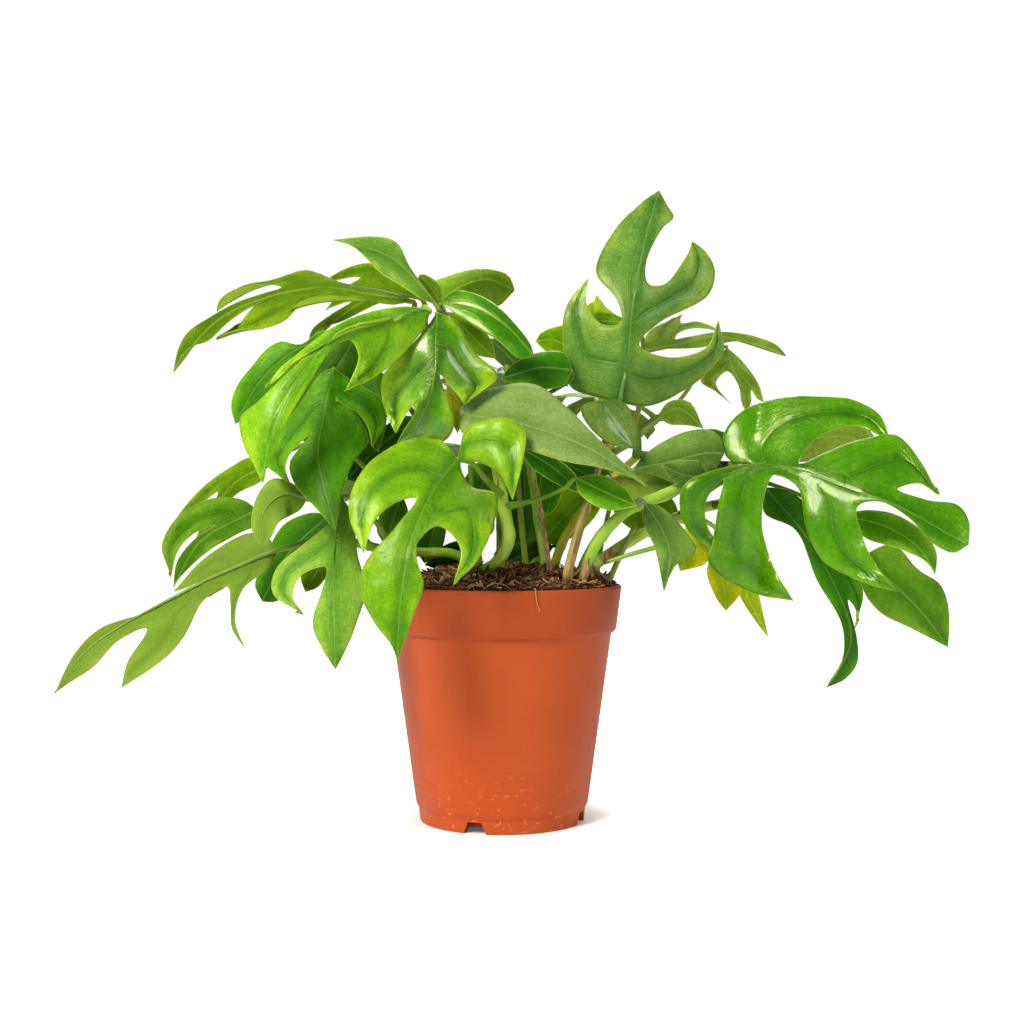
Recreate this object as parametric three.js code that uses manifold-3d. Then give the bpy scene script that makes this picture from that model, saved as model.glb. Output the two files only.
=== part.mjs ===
// A potted Rhaphidophora tetrasperma: a bushy climbing aroid with split, hand-like leaves on
// long arching leaf stalks, several vines rising from peaty mix in a round nursery pot.
// Millimetres, +Z up, the front of the plant towards -Y, origin under the pot's centre.
import * as THREE from "three";
import Module from "manifold-3d";
import { mergeVertices } from "three/addons/utils/BufferGeometryUtils.js";

const wasm = await Module();
wasm.setup();

// The pot: a 15 cm injection-moulded nursery pot with a deep plain rim band. Its underside
// has a standing ring and a centre disc at the same level, with a shallow recess between.
const POT = {
  height: 147,
  rimRadius: 75,
  bandFootRadius: 71.8,
  bandHeight: 28,
  bandRound: 1,
  bandUndercut: 1.5,
  bodyTopRadius: 68.8,
  bodyFootRadius: 54,
  footRadius: 51.6,
  footFlare: 0.6,
  footStepHeight: 8,
  shoulderHeight: 11,
  wall: 1.8,
  innerStep: 4,
  floorTop: 4.6,
  floorRound: 3,
  recess: 2.4,
  standRingWidth: 7,
  centreDiscRadius: 20,
  sides: 48,
};
const SLOT = { count: 4, width: 9, reach: 11, top: 7, firstAngle: -108.6 };

// The potting mix: level with the rim at the wall, heaped a little towards the middle.
const MIX = { belowRim: 1, heap: 9, lump: 0.65, rings: 5, sides: 24 };

// Room left between neighbours, and the sizes of blades, leaf stalks and vines.
const CLEAR = 0.35;
const BLADE_THICKNESS = 0.8;
const MARGIN_STEP = 12;
const RIB_STEPS = 5;
const STALK = {
  vineRadius: 2.4,
  bladeRadius: 1.5,
  slimFrom: 0.7,
  sides: 6,
  step: 14,
  leastSteps: 5,
  underBlade: 0.1,
};
const VINE = { sides: 8, taper: 0.3, rootDepth: 24, stepsPerPoint: 2, samples: 200 };
const FAR_FOLD = 0.22;

// Points are sighted from straight in front: [x, z, depth], where x and z are read in the
// plane of the pot's axis and depth is how far behind that plane the point really lies.
const SIGHT = { distance: 964, height: 200 };

// Vines from the soil upwards: the radius at the soil and the route of the centre line.
const VINES = [
  {
    name: "stem_front_left",
    radius: 4.2,
    route: [
      [-15, 150, -30], [-3, 161, -36], [4, 174, -36], [3, 187, -30], [0, 201, -24], [-3, 219, -14],
      [-9, 244, -8], [-19, 269, -4], [-28, 293, -2],
    ],
  },
  {
    name: "stem_centre",
    radius: 3.3,
    route: [[28, 152, -24], [23, 187, -18], [18, 219, -10], [12, 244, 0], [6, 268, 10], [3, 285, 16]],
  },
  {
    name: "stem_front_right",
    radius: 4.2,
    route: [
      [47, 143, -36], [59, 172, -36], [77, 192, -32], [96, 201, -28], [118, 210, -22], [137, 217, -16],
    ],
  },
  {
    name: "stem_right",
    radius: 4,
    route: [[53, 153, -6], [71, 168, -6], [93, 181, -2], [118, 192, 4], [151, 202, 12]],
  },
  {
    name: "stem_brown",
    radius: 2.6,
    route: [[40, 147, -46], [48, 181, -42], [55, 201, -36], [62, 224, -24], [67, 249, -10]],
  },
  { name: "stem_crown", radius: 3.3, route: [[32, 153, 16], [40, 177, 18], [58, 202, 18], [88, 230, 14]] },
  {
    name: "stem_low_left",
    radius: 3.5,
    route: [
      [-13, 150, -4], [-28, 165, -6], [-49, 167, -12], [-74, 169, -18], [-99, 174, -24],
      [-120, 174, -29],
    ],
  },
  {
    name: "stem_back_left",
    radius: 3.5,
    route: [[-17, 151, 22], [-29, 187, 26], [-39, 219, 26], [-52, 254, 24], [-59, 291, 18], [-60, 304, 12]],
  },
  {
    name: "stem_back_right",
    radius: 3.3,
    route: [[18, 152, 34], [37, 187, 50], [55, 218, 62], [82, 237, 80]],
  },
  { name: "stem_back", radius: 3.3, route: [[-1, 152, 44], [-1, 187, 62], [-4, 225, 82], [-9, 260, 96]] },
];

// Leaves seen from the front. The rib runs from the stalk to the tip. Each side of the blade
// is a row of lobes from base to tip: the margin goes out to a lobe's tip and back to the
// sinus, and root is the fraction of the rib that the sinus points at. The last lobe of a
// side runs to the leaf's tip. Lean and curl say how each side falls away from the rib.
const LEAVES = [
  {
    name: "leaf_crown",
    vine: "stem_crown",
    stalk: [[87, 226, 14], [85, 244, 8]],
    rib: [[74, 261, -6], [79, 294, -14], [83, 326, -12], [91, 367, 4], [99, 395, 20]],
    left: [
      {
        out: [[62, 264], [43, 271], [38, 298], [41, 325]], tip: [54, 341], back: [[53, 324], [63, 311]],
        sinus: [75, 312],
      },
      { out: [[72, 327], [59, 344], [66, 364], [88, 388]] },
    ],
    right: [
      {
        out: [[92, 259], [123, 274], [140, 294]], tip: [138, 314], back: [[129, 296], [105, 290]],
        sinus: [87, 298],
      },
      {
        out: [[100, 312], [130, 329], [134, 344], [127, 357]], tip: [120, 363],
        back: [[115, 352], [102, 336]], sinus: [92, 337],
      },
      { out: [[91, 350], [101, 371], [108, 378], [104, 386]] },
    ],
    lean: [0.15, 0.3],
    curl: [0.25, 0.3],
  },
  {
    name: "leaf_right_large",
    vine: "stem_front_right",
    stalk: [[132, 215, -18], [147, 224, -30]],
    rib: [[158, 223, -42], [185, 220, -60], [216, 209, -76], [254, 194, -92], [294, 172, -104]],
    left: [
      {
        out: [[142, 226], [139, 241], [153, 257], [181, 265], [219, 264], [237, 256]], tip: [245, 239],
        back: [[222, 247], [199, 240]], sinus: [187, 223],
      },
      {
        out: [[203, 230], [231, 240], [248, 242], [263, 226]], tip: [276, 204], back: [[263, 211]],
        sinus: [249, 207],
      },
      { out: [[266, 201], [287, 197], [294, 186]] },
    ],
    right: [
      {
        out: [[142, 221], [115, 210], [112, 194], [120, 177]], tip: [146, 164],
        back: [[130, 182], [129, 200]], sinus: [140, 213],
      },
      {
        out: [[137, 200], [133, 175], [130, 160], [153, 143]], tip: [183, 136],
        back: [[168, 165], [163, 191]], sinus: [171, 216],
      },
      {
        out: [[186, 208], [192, 181], [202, 162], [227, 148]], tip: [249, 142],
        back: [[234, 161], [226, 180]], sinus: [224, 196],
      },
      { out: [[238, 199], [256, 189], [273, 172], [285, 167]] },
    ],
    lean: [0.45, -0.1],
    curl: [0.1, 0.25],
  },
  {
    name: "leaf_front",
    vine: "stem_front_left",
    stalk: [[-1, 203, -24], [-11, 214, -46], [-20, 224, -62]],
    rib: [[-28, 226, -70], [-44, 205, -100], [-57, 175, -118], [-64, 137, -128], [-66, 98, -126]],
    left: [
      {
        out: [[-23, 245, -4], [2, 252, -14], [14, 245, -18], [13, 225, -22]], tip: [6, 200, -26],
        back: [[-3, 218, -16]], sinus: [-26, 224],
      },
      {
        out: [[-20, 209], [-3, 204], [-6, 182], [-16, 161]], tip: [-30, 147],
        back: [[-26, 170], [-40, 184]], sinus: [-56, 167],
      },
      { out: [[-49, 148], [-55, 129], [-62, 109]] },
    ],
    right: [
      {
        out: [[-39, 238], [-64, 237], [-88, 219], [-97, 194]], tip: [-88, 167],
        back: [[-80, 187], [-67, 198]], sinus: [-54, 201],
      },
      { out: [[-69, 181], [-88, 159], [-91, 142], [-80, 122], [-69, 107]] },
    ],
    lean: [0.1, 0.15],
    curl: [0.2, 0.2],
  },
  {
    name: "leaf_grey_mid",
    vine: "stem_centre",
    stalk: [[13, 240, -2], [-6, 252, -24], [-23, 260, -38]],
    rib: [[-25, 255, -50], [18, 247, -64], [55, 233, -80], [91, 209, -92]],
    left: [
      { out: [[-15, 269], [-1, 273], [21, 274], [40, 260], [62, 238], [81, 219]] },
    ],
    right: [
      { out: [[-26, 243], [14, 232], [37, 225], [68, 219], [82, 214]] },
    ],
    lean: [0.7, -0.5],
    curl: [0.4, 0.2],
  },
  {
    name: "leaf_low_left",
    vine: "stem_low_left",
    stalk: [[-113, 174, -27], [-127, 172, -33]],
    rib: [
      [-142, 167, -40], [-165, 157, -50], [-193, 145, -60], [-234, 123, -74], [-261, 104, -82],
      [-282, 78, -84],
    ],
    left: [
      {
        out: [[-147, 157], [-163, 143], [-168, 124]], tip: [-161, 104], back: [[-170, 118], [-171, 134]],
        sinus: [-173, 145],
      },
      {
        out: [[-187, 137], [-200, 114], [-210, 102]], tip: [-239, 80], back: [[-236, 96]],
        sinus: [-224, 119],
      },
      { out: [[-242, 111], [-258, 94], [-272, 85]] },
    ],
    right: [
      {
        out: [[-146, 175], [-158, 179], [-187, 163]], tip: [-207, 142], back: [[-198, 145]],
        sinus: [-192, 148],
      },
      { out: [[-202, 141], [-212, 135], [-228, 128], [-253, 119], [-270, 102]] },
    ],
    lean: [-0.6, 1.3],
    curl: [-0.3, 0.5],
  },
  {
    name: "leaf_top_left",
    vine: "stem_back_left",
    stalk: [[-60, 298, 15], [-59, 312, 0]],
    rib: [
      [-56, 326, -22], [-83, 330, -12], [-115, 334, 2], [-147, 328, 18], [-181, 312, 34],
      [-207, 281, 44],
    ],
    left: [
      {
        out: [[-67, 323], [-93, 327], [-112, 329], [-126, 325], [-137, 314], [-152, 308], [-166, 307]],
        tip: [-181, 301], back: [[-170, 307], [-163, 315]], sinus: [-156, 323],
      },
      { out: [[-165, 318], [-176, 309], [-186, 300], [-197, 296], [-203, 289]] },
    ],
    right: [
      {
        out: [[-74, 332], [-99, 336], [-122, 345], [-145, 339], [-165, 335], [-176, 328]],
        tip: [-180, 319], back: [[-177, 326], [-168, 332], [-151, 336]], sinus: [-139, 334],
      },
      { out: [[-151, 330], [-166, 325], [-183, 316], [-198, 306], [-204, 295]] },
    ],
    lean: [-0.5, 1.4],
    curl: [-0.3, 0.8],
  },
  {
    name: "leaf_top_left_back",
    vine: "stem_back_left",
    stalk: [[-58, 282, 21], [-49, 307, 22], [-48, 321, 12]],
    rib: [[-52, 328, 6], [-74, 330, 24], [-96, 320, 44], [-122, 298, 62]],
    left: [
      { out: [[-74, 325], [-88, 319], [-102, 312], [-115, 308]] },
    ],
    right: [
      {
        out: [[-61, 337], [-80, 349], [-99, 346], [-112, 339]], tip: [-123, 329],
        back: [[-110, 337], [-98, 340]], sinus: [-89, 340],
      },
      { out: [[-98, 335], [-105, 329]], tip: [-113, 320], back: [[-105, 323]], sinus: [-95, 325] },
      { out: [[-108, 317], [-120, 307]] },
    ],
    lean: [-0.4, 0.9],
    curl: [0.2, 0.5],
  },
  {
    name: "leaf_top_back",
    vine: "stem_back_left",
    stalk: [[-56, 272, 22], [-44, 301, 24], [-40, 317, 20]],
    rib: [[-39, 326, 20], [-25, 335, 38], [-9, 339, 60], [8, 332, 84]],
    left: [
      { out: [[-47, 336], [-36, 341], [-14, 346], [4, 342]] },
    ],
    right: [
      { out: [[-30, 325], [-15, 326], [-3, 322]] },
    ],
    lean: [0.8, 0.4],
    curl: [0.5, 0.2],
  },
  {
    name: "leaf_horn",
    vine: "stem_front_left",
    stalk: [[-25, 285, -3], [-34, 304, -22], [-38, 316, -42]],
    rib: [[-41, 323, -50], [-53, 337, -44], [-71, 354, -34], [-106, 364, -22]],
    left: [
      { out: [[-49, 326], [-64, 336], [-77, 344], [-93, 359]] },
    ],
    right: [
      { out: [[-46, 330], [-58, 347], [-67, 363], [-83, 366]] },
    ],
    lean: [-0.8, 0.6],
    curl: [0.3, 0.3],
  },
  {
    name: "leaf_upper_right_bright",
    vine: "stem_front_left",
    stalk: [[-21, 276, -4], [-25, 298, -18], [-35, 315, -30]],
    rib: [[-39, 324, -38], [-19, 323, -44], [2, 311, -50], [20, 291, -52]],
    left: [
      { out: [[-30, 332], [-8, 326], [9, 310], [18, 298]] },
    ],
    right: [
      { out: [[-26, 315], [-4, 301], [12, 289]] },
    ],
    lean: [0.7, -0.3],
    curl: [0.4, 0.2],
  },
  {
    name: "leaf_glossy",
    vine: "stem_front_left",
    stalk: [[-18, 266, -5], [-23, 288, -30], [-34, 310, -46]],
    rib: [[-41, 318, -52], [-42, 296, -62], [-44, 271, -65], [-55, 245, -64], [-67, 234, -60]],
    left: [
      {
        out: [[-32, 315], [-16, 294], [-2, 277], [-11, 269]], tip: [-23, 260], back: [[-32, 271]],
        sinus: [-39, 279],
      },
      { out: [[-35, 266], [-30, 247], [-35, 238], [-52, 234]] },
    ],
    right: [
      {
        out: [[-49, 307], [-66, 289], [-76, 278], [-76, 260]], tip: [-67, 242], back: [[-60, 255]],
        sinus: [-53, 263],
      },
      { out: [[-55, 255], [-62, 244]] },
    ],
    lean: [0.25, 0.25],
    curl: [0.35, 0.35],
  },
  {
    name: "leaf_upper_left_bright",
    vine: "stem_front_left",
    stalk: [[-14, 255, -7], [-32, 282, -20], [-47, 308, -32], [-50, 321, -46]],
    rib: [
      [-45, 319, -58], [-67, 313, -70], [-99, 305, -84], [-123, 287, -96], [-145, 254, -108],
      [-151, 211, -112],
    ],
    left: [
      {
        out: [[-49, 308], [-63, 291], [-77, 279]], tip: [-98, 269], back: [[-94, 277], [-90, 291]],
        sinus: [-96, 302],
      },
      { out: [[-105, 298], [-113, 288], [-127, 264], [-140, 242], [-149, 223]] },
    ],
    right: [
      {
        out: [[-55, 322], [-77, 318], [-99, 312], [-127, 294], [-140, 284]], tip: [-151, 271],
        back: [[-137, 281]], sinus: [-125, 289],
      },
      { out: [[-137, 277], [-154, 264], [-166, 252], [-164, 237], [-156, 221]] },
    ],
    lean: [0.2, 0.35],
    curl: [0.3, 0.3],
  },
  {
    name: "leaf_left_shade",
    vine: "stem_back_left",
    stalk: [[-57, 272, 22], [-74, 298, 14], [-89, 306, -6]],
    rib: [[-99, 302, -20], [-127, 296, -26], [-152, 276, -28], [-168, 248, -26]],
    left: [
      { out: [[-102, 287], [-127, 268], [-151, 255]] },
    ],
    right: [
      { out: [[-113, 307], [-127, 298], [-141, 300], [-156, 287], [-169, 268], [-171, 258]] },
    ],
    lean: [0.2, 0.4],
    curl: [0.2, 0.4],
  },
  {
    name: "leaf_mid_dark",
    vine: "stem_back_left",
    stalk: [[-37, 205, 26], [-67, 209, -12], [-96, 232, -42], [-101, 263, -44]],
    rib: [[-106, 282, -48], [-112, 256, -60], [-116, 228, -74], [-110, 200, -86], [-105, 181, -92]],
    left: [
      { out: [[-95, 276], [-77, 264], [-74, 249], [-81, 231], [-94, 222], [-101, 204]] },
    ],
    right: [
      {
        out: [[-113, 281], [-127, 263], [-140, 245], [-148, 224]], tip: [-137, 208],
        back: [[-134, 223], [-127, 235]], sinus: [-118, 240],
      },
      { out: [[-130, 226], [-132, 214], [-126, 203], [-115, 191]] },
    ],
    lean: [0.3, 0.3],
    curl: [0.4, 0.4],
  },
  {
    name: "leaf_mid_shade",
    vine: "stem_back_left",
    stalk: [[-49, 241, 25], [-64, 266, 0], [-86, 288, -14]],
    rib: [[-96, 294, -22], [-88, 272, -30], [-81, 250, -34], [-78, 230, -32]],
    left: [
      { out: [[-84, 293], [-74, 272], [-73, 247]] },
    ],
    right: [
      { out: [[-103, 285], [-99, 260], [-88, 240]] },
    ],
    lean: [0.3, 0.3],
    curl: [0.4, 0.4],
  },
  {
    name: "leaf_pale_small",
    vine: "stem_low_left",
    stalk: [[-99, 174, -23], [-105, 189, -30], [-115, 199, -38]],
    rib: [[-123, 200, -46], [-137, 203, -54], [-149, 192, -62], [-151, 170, -66]],
    left: [
      { out: [[-127, 194], [-140, 186], [-145, 177]] },
    ],
    right: [
      { out: [[-130, 209], [-145, 213], [-155, 200], [-157, 181]] },
    ],
    lean: [-0.3, 0.5],
    curl: [0.2, 0.4],
  },
  {
    name: "leaf_low_shade",
    vine: "stem_low_left",
    stalk: [[-84, 171, -20], [-93, 184, -12], [-101, 190, -8]],
    rib: [[-108, 191, -8], [-124, 178, -6], [-139, 161, 0], [-151, 136, 6]],
    left: [
      { out: [[-112, 176], [-127, 156], [-142, 136]] },
    ],
    right: [
      { out: [[-122, 192], [-139, 184], [-151, 161], [-156, 146]] },
    ],
    lean: [-0.2, 0.4],
    curl: [0.2, 0.2],
  },
  {
    name: "leaf_left_mid",
    vine: "stem_back_left",
    stalk: [[-36, 209, 26], [-71, 219, 14], [-115, 213, 2], [-140, 201, -4]],
    rib: [[-154, 194, -6], [-173, 185, -2], [-192, 172, 6], [-207, 145, 14]],
    left: [
      { out: [[-154, 185], [-166, 179], [-186, 167], [-202, 152]] },
    ],
    right: [
      {
        out: [[-165, 201], [-184, 201], [-202, 192], [-215, 172]], tip: [-209, 151],
        back: [[-205, 167], [-194, 179]], sinus: [-181, 184],
      },
      { out: [[-193, 176], [-205, 161]] },
    ],
    lean: [-0.3, 0.7],
    curl: [0.2, 0.4],
  },
  {
    name: "leaf_left_olive",
    vine: "stem_back_left",
    stalk: [[-39, 219, 26], [-74, 238, 32], [-115, 238, 30], [-139, 228, 24]],
    rib: [[-150, 221, 22], [-166, 213, 34], [-181, 195, 48], [-195, 161, 64]],
    left: [
      { out: [[-151, 213], [-168, 203], [-180, 186], [-187, 171]] },
    ],
    right: [
      {
        out: [[-158, 227], [-173, 220], [-193, 205]], tip: [-210, 182], back: [[-193, 195]],
        sinus: [-179, 205],
      },
      { out: [[-185, 192], [-193, 175]] },
    ],
    lean: [-0.3, 0.7],
    curl: [0.2, 0.4],
  },
  {
    name: "leaf_low_hanging",
    vine: "stem_low_left",
    stalk: [[-67, 169, -17], [-80, 187, -30], [-93, 201, -48]],
    rib: [[-101, 202, -52], [-104, 181, -64], [-106, 156, -76], [-106, 124, -84], [-105, 93, -82]],
    left: [
      { out: [[-94, 191], [-91, 168], [-86, 143], [-91, 123], [-100, 102]] },
    ],
    right: [
      {
        out: [[-106, 189], [-127, 172], [-143, 157], [-146, 142]], tip: [-127, 128],
        back: [[-133, 140], [-127, 153]], sinus: [-111, 158],
      },
      { out: [[-115, 140], [-120, 123], [-114, 107]] },
    ],
    lean: [0.3, 0.3],
    curl: [0.4, 0.3],
  },
  {
    name: "leaf_back_right_long",
    vine: "stem_back_right",
    stalk: [[78, 238, 76], [87, 263, 52], [84, 285, 26]],
    rib: [[87, 294, 18], [110, 298, 36], [137, 303, 66], [179, 291, 96]],
    left: [
      { out: [[93, 307], [104, 313]], tip: [115, 318], back: [[113, 315]], sinus: [113, 312] },
      {
        out: [[123, 313], [132, 310]], tip: [140, 305], back: [[129, 308], [117, 308], [110, 305]],
        sinus: [106, 301],
      },
      { out: [[118, 303], [139, 306], [161, 303], [173, 298]] },
    ],
    right: [
      { out: [[101, 295], [125, 296], [151, 300], [168, 296]] },
    ],
    lean: [0.8, -0.3],
    curl: [0.5, 0.2],
  },
  {
    name: "leaf_back_right_hanging",
    vine: "stem_back_right",
    stalk: [[81, 235, 80], [112, 263, 84], [134, 294, 78]],
    rib: [[142, 296, 72], [144, 286, 78], [151, 271, 84], [154, 255, 86]],
    left: [
      { out: [[151, 288], [161, 275]], tip: [166, 261], back: [[161, 264]], sinus: [157, 269] },
      { out: [[157, 262]] },
    ],
    right: [
      {
        out: [[136, 291], [126, 280], [125, 274], [134, 268]], tip: [145, 260],
        back: [[137, 268], [135, 274]], sinus: [142, 281],
      },
      { out: [[149, 272], [151, 261]] },
    ],
    lean: [0.3, 0.3],
    curl: [0.4, 0.4],
  },
  {
    name: "leaf_back_right_pale",
    vine: "stem_back_right",
    stalk: [[69, 230, 70], [81, 238, 48], [90, 247, 34]],
    rib: [[98, 253, 30], [112, 258, 36], [127, 245, 40]],
    left: [
      { out: [[105, 262], [118, 262]] },
    ],
    right: [
      { out: [[105, 248], [117, 247]] },
    ],
    lean: [0.4, -0.2],
    curl: [0.2, 0.2],
  },
  {
    name: "leaf_behind_crown",
    vine: "stem_back_right",
    stalk: [[64, 225, 66], [73, 263, 44], [88, 287, 18]],
    rib: [[87, 306, 6], [74, 312, 12], [62, 313, 16], [47, 315, 20]],
    left: [
      { out: [[74, 308], [64, 309], [54, 312]] },
    ],
    right: [
      {
        out: [[76, 315], [66, 317], [59, 318], [58, 323]], tip: [60, 328], back: [[56, 325]],
        sinus: [52, 322],
      },
      { out: [[49, 318]] },
    ],
    lean: [0.3, 0.5],
    curl: [0.2, 0.2],
  },
  {
    name: "leaf_small_bright",
    vine: "stem_centre",
    stalk: [[4, 272, 12], [24, 279, 22], [40, 287, 22]],
    rib: [[45, 293, 20], [34, 301, 18], [21, 300, 14]],
    left: [
      { out: [[40, 291], [29, 293]] },
    ],
    right: [
      { out: [[44, 310], [33, 309], [25, 306]] },
    ],
    lean: [-0.2, 0.5],
    curl: [0.1, 0.3],
  },
  {
    name: "leaf_folded",
    vine: "stem_centre",
    stalk: [[8, 257, 6], [27, 266, 2], [43, 276, -8]],
    rib: [[44, 282, -14], [24, 284, -18], [-1, 276, -16]],
    left: [
      { out: [[40, 273], [29, 270], [11, 272]] },
    ],
    right: [
      { out: [[40, 292], [21, 293], [6, 285]] },
    ],
    lean: [-0.5, 0.9],
    curl: [0.2, 0.4],
  },
  {
    name: "leaf_under_crown",
    vine: "stem_brown",
    stalk: [[66, 244, -14], [59, 258, -14]],
    rib: [[63, 263, -22], [69, 253, -30], [76, 242, -36], [84, 232, -40]],
    left: [
      { out: [[76, 262], [85, 247]] },
    ],
    right: [
      { out: [[49, 259], [54, 247], [68, 235]] },
    ],
    lean: [0.3, 0.3],
    curl: [0.3, 0.3],
  },
  {
    name: "leaf_behind_large",
    vine: "stem_right",
    stalk: [[132, 197, 7], [151, 200, -10]],
    rib: [[166, 208, -18], [188, 182, -22], [210, 146, -22], [220, 112, -16], [205, 82, -6]],
    left: [
      { out: [[181, 206], [212, 172], [229, 142]], tip: [222, 118], back: [[224, 129]], sinus: [218, 137] },
      { out: [[224, 112], [224, 97], [217, 87]] },
    ],
    right: [
      { out: [[165, 192], [185, 181], [198, 150], [214, 121], [214, 98]] },
    ],
    lean: [0.5, 0.2],
    curl: [0.3, 0.2],
  },
  {
    name: "leaf_lower_right",
    vine: "stem_right",
    stalk: [[150, 201, 12], [181, 197, 16], [212, 178, 10]],
    rib: [[227, 165, 2], [246, 148, 10], [265, 129, 24], [281, 107, 36]],
    left: [
      { out: [[246, 172], [263, 156], [278, 145], [282, 123]] },
    ],
    right: [
      { out: [[227, 146], [236, 131], [258, 119]] },
    ],
    lean: [0.4, 0.1],
    curl: [0.3, 0.3],
  },
  {
    name: "leaf_right_back",
    vine: "stem_right",
    stalk: [[110, 189, 2], [144, 213, -2], [181, 206, -10], [200, 196, -24]],
    rib: [[214, 190, -34], [241, 184, -46], [262, 171, -56], [273, 153, -62]],
    left: [
      { out: [[229, 194], [249, 191], [266, 180], [274, 167]] },
    ],
    right: [
      { out: [[229, 176], [252, 169], [267, 161]] },
    ],
    lean: [0.5, -0.2],
    curl: [0.3, 0.2],
  },
  {
    name: "leaf_mid_right_grey",
    vine: "stem_brown",
    stalk: [[62, 224, -24], [71, 224, -22]],
    rib: [[82, 219, -28], [112, 226, -34], [130, 230, -36], [140, 229, -34]],
    left: [
      { out: [[91, 230], [112, 242], [129, 245], [138, 239]] },
    ],
    right: [
      { out: [[94, 216], [117, 209], [132, 215]] },
    ],
    lean: [0.5, 0],
    curl: [0.3, 0.2],
  },
  {
    name: "leaf_behind_right",
    vine: "stem_right",
    stalk: [[118, 192, 4], [136, 216, 18]],
    rib: [[155, 230, 6], [188, 238, 6], [219, 240, 8], [241, 230, 10]],
    left: [
      { out: [[169, 247], [197, 254], [227, 248]] },
    ],
    right: [
      { out: [[172, 224], [202, 225], [227, 228]] },
    ],
    lean: [0.6, -0.1],
    curl: [0.3, 0.2],
  },
  {
    name: "leaf_right_hanging_blue",
    vine: "stem_front_right",
    stalk: [[85, 196, -30], [87, 200, -40]],
    rib: [[90, 198, -46], [101, 181, -56], [106, 165, -64], [102, 142, -66]],
    left: [
      { out: [[100, 196], [117, 180], [123, 168], [108, 158]] },
    ],
    right: [
      { out: [[88, 189], [96, 170], [100, 152]] },
    ],
    lean: [0.2, 0.3],
    curl: [0.3, 0.3],
  },
  {
    name: "leaf_right_low_olive",
    vine: "stem_right",
    stalk: [[102, 185, 0], [113, 189, -10]],
    rib: [[118, 186, -20], [120, 172, -26], [112, 155, -28]],
    left: [
      { out: [[127, 175], [129, 161]] },
    ],
    right: [
      { out: [[112, 177], [110, 165]] },
    ],
    lean: [0.3, 0.3],
    curl: [0.3, 0.3],
  },
  {
    name: "leaf_right_low_yellow",
    vine: "stem_right",
    stalk: [[110, 189, 3], [125, 181, 16]],
    rib: [[132, 165, 18], [139, 148, 14], [141, 130, 14]],
    left: [
      { out: [[144, 158], [151, 143]] },
    ],
    right: [
      { out: [[129, 155], [135, 138]] },
    ],
    lean: [0.3, 0.3],
    curl: [0.3, 0.3],
  },
  {
    name: "leaf_right_low_pale",
    vine: "stem_right",
    stalk: [[117, 192, 4], [136, 181, 26]],
    rib: [[150, 157, 34], [156, 137, 34], [168, 113, 34]],
    left: [
      { out: [[160, 146], [165, 127]] },
    ],
    right: [
      { out: [[149, 142], [160, 123]] },
    ],
    lean: [0.4, 0.2],
    curl: [0.2, 0.2],
  },
  {
    name: "leaf_mid_right_low",
    vine: "stem_front_left",
    stalk: [[3, 196, -28], [24, 201, -42], [40, 208, -50]],
    rib: [[46, 214, -54], [64, 206, -60], [85, 196, -64]],
    left: [
      { out: [[62, 216], [77, 208]] },
    ],
    right: [
      { out: [[49, 204], [66, 194]] },
    ],
    lean: [0.5, -0.2],
    curl: [0.2, 0.2],
  },
  {
    name: "leaf_mid_pale",
    vine: "stem_crown",
    stalk: [[65, 206, 18], [66, 214, 6]],
    rib: [[69, 213, -8], [93, 210, -14], [116, 206, -16]],
    left: [
      { out: [[86, 221], [102, 220]] },
    ],
    right: [
      { out: [[79, 199], [100, 198]] },
    ],
    lean: [0.5, -0.1],
    curl: [0.2, 0.2],
  },
  {
    name: "leaf_mid_yellow_edge",
    vine: "stem_centre",
    stalk: [[16, 228, -7], [8, 234, -22]],
    rib: [[11, 233, -30], [32, 221, -36], [50, 204, -40]],
    left: [
      { out: [[27, 230], [46, 217]] },
    ],
    right: [
      { out: [[18, 221], [37, 209]] },
    ],
    lean: [0.5, -0.1],
    curl: [0.2, 0.2],
  },
  {
    name: "leaf_mid_dark_hanging",
    vine: "stem_centre",
    stalk: [[11, 247, 2], [24, 243, 8], [30, 233, 6]],
    rib: [[32, 224, 0], [32, 208, -6], [28, 190, -8]],
    left: [
      { out: [[39, 215], [34, 195]] },
    ],
    right: [
      { out: [[25, 216], [24, 197]] },
    ],
    lean: [0.3, 0.3],
    curl: [0.2, 0.2],
  },
  {
    name: "leaf_core_yellow",
    vine: "stem_crown",
    stalk: [[66, 208, 18], [65, 208, 26]],
    rib: [[62, 205, 30], [49, 198, 30], [37, 187, 28], [25, 174, 24]],
    left: [
      { out: [[62, 195], [54, 184], [42, 175], [32, 172]] },
    ],
    right: [
      { out: [[55, 211], [40, 209], [25, 199], [20, 185]] },
    ],
    lean: [0.1, 0.1],
    curl: [0.1, 0.1],
  },
  {
    name: "leaf_core_shade",
    vine: "stem_back",
    stalk: [[-2, 200, 68], [6, 219, 56], [11, 224, 48]],
    rib: [[14, 224, 42], [14, 200, 46], [11, 181, 46], [8, 165, 42]],
    left: [
      { out: [[24, 218], [30, 200], [28, 178], [19, 165]] },
    ],
    right: [
      { out: [[5, 216], [1, 200], [1, 181], [3, 168]] },
    ],
    lean: [0.1, 0.1],
    curl: [0.1, 0.1],
  },
];

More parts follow.
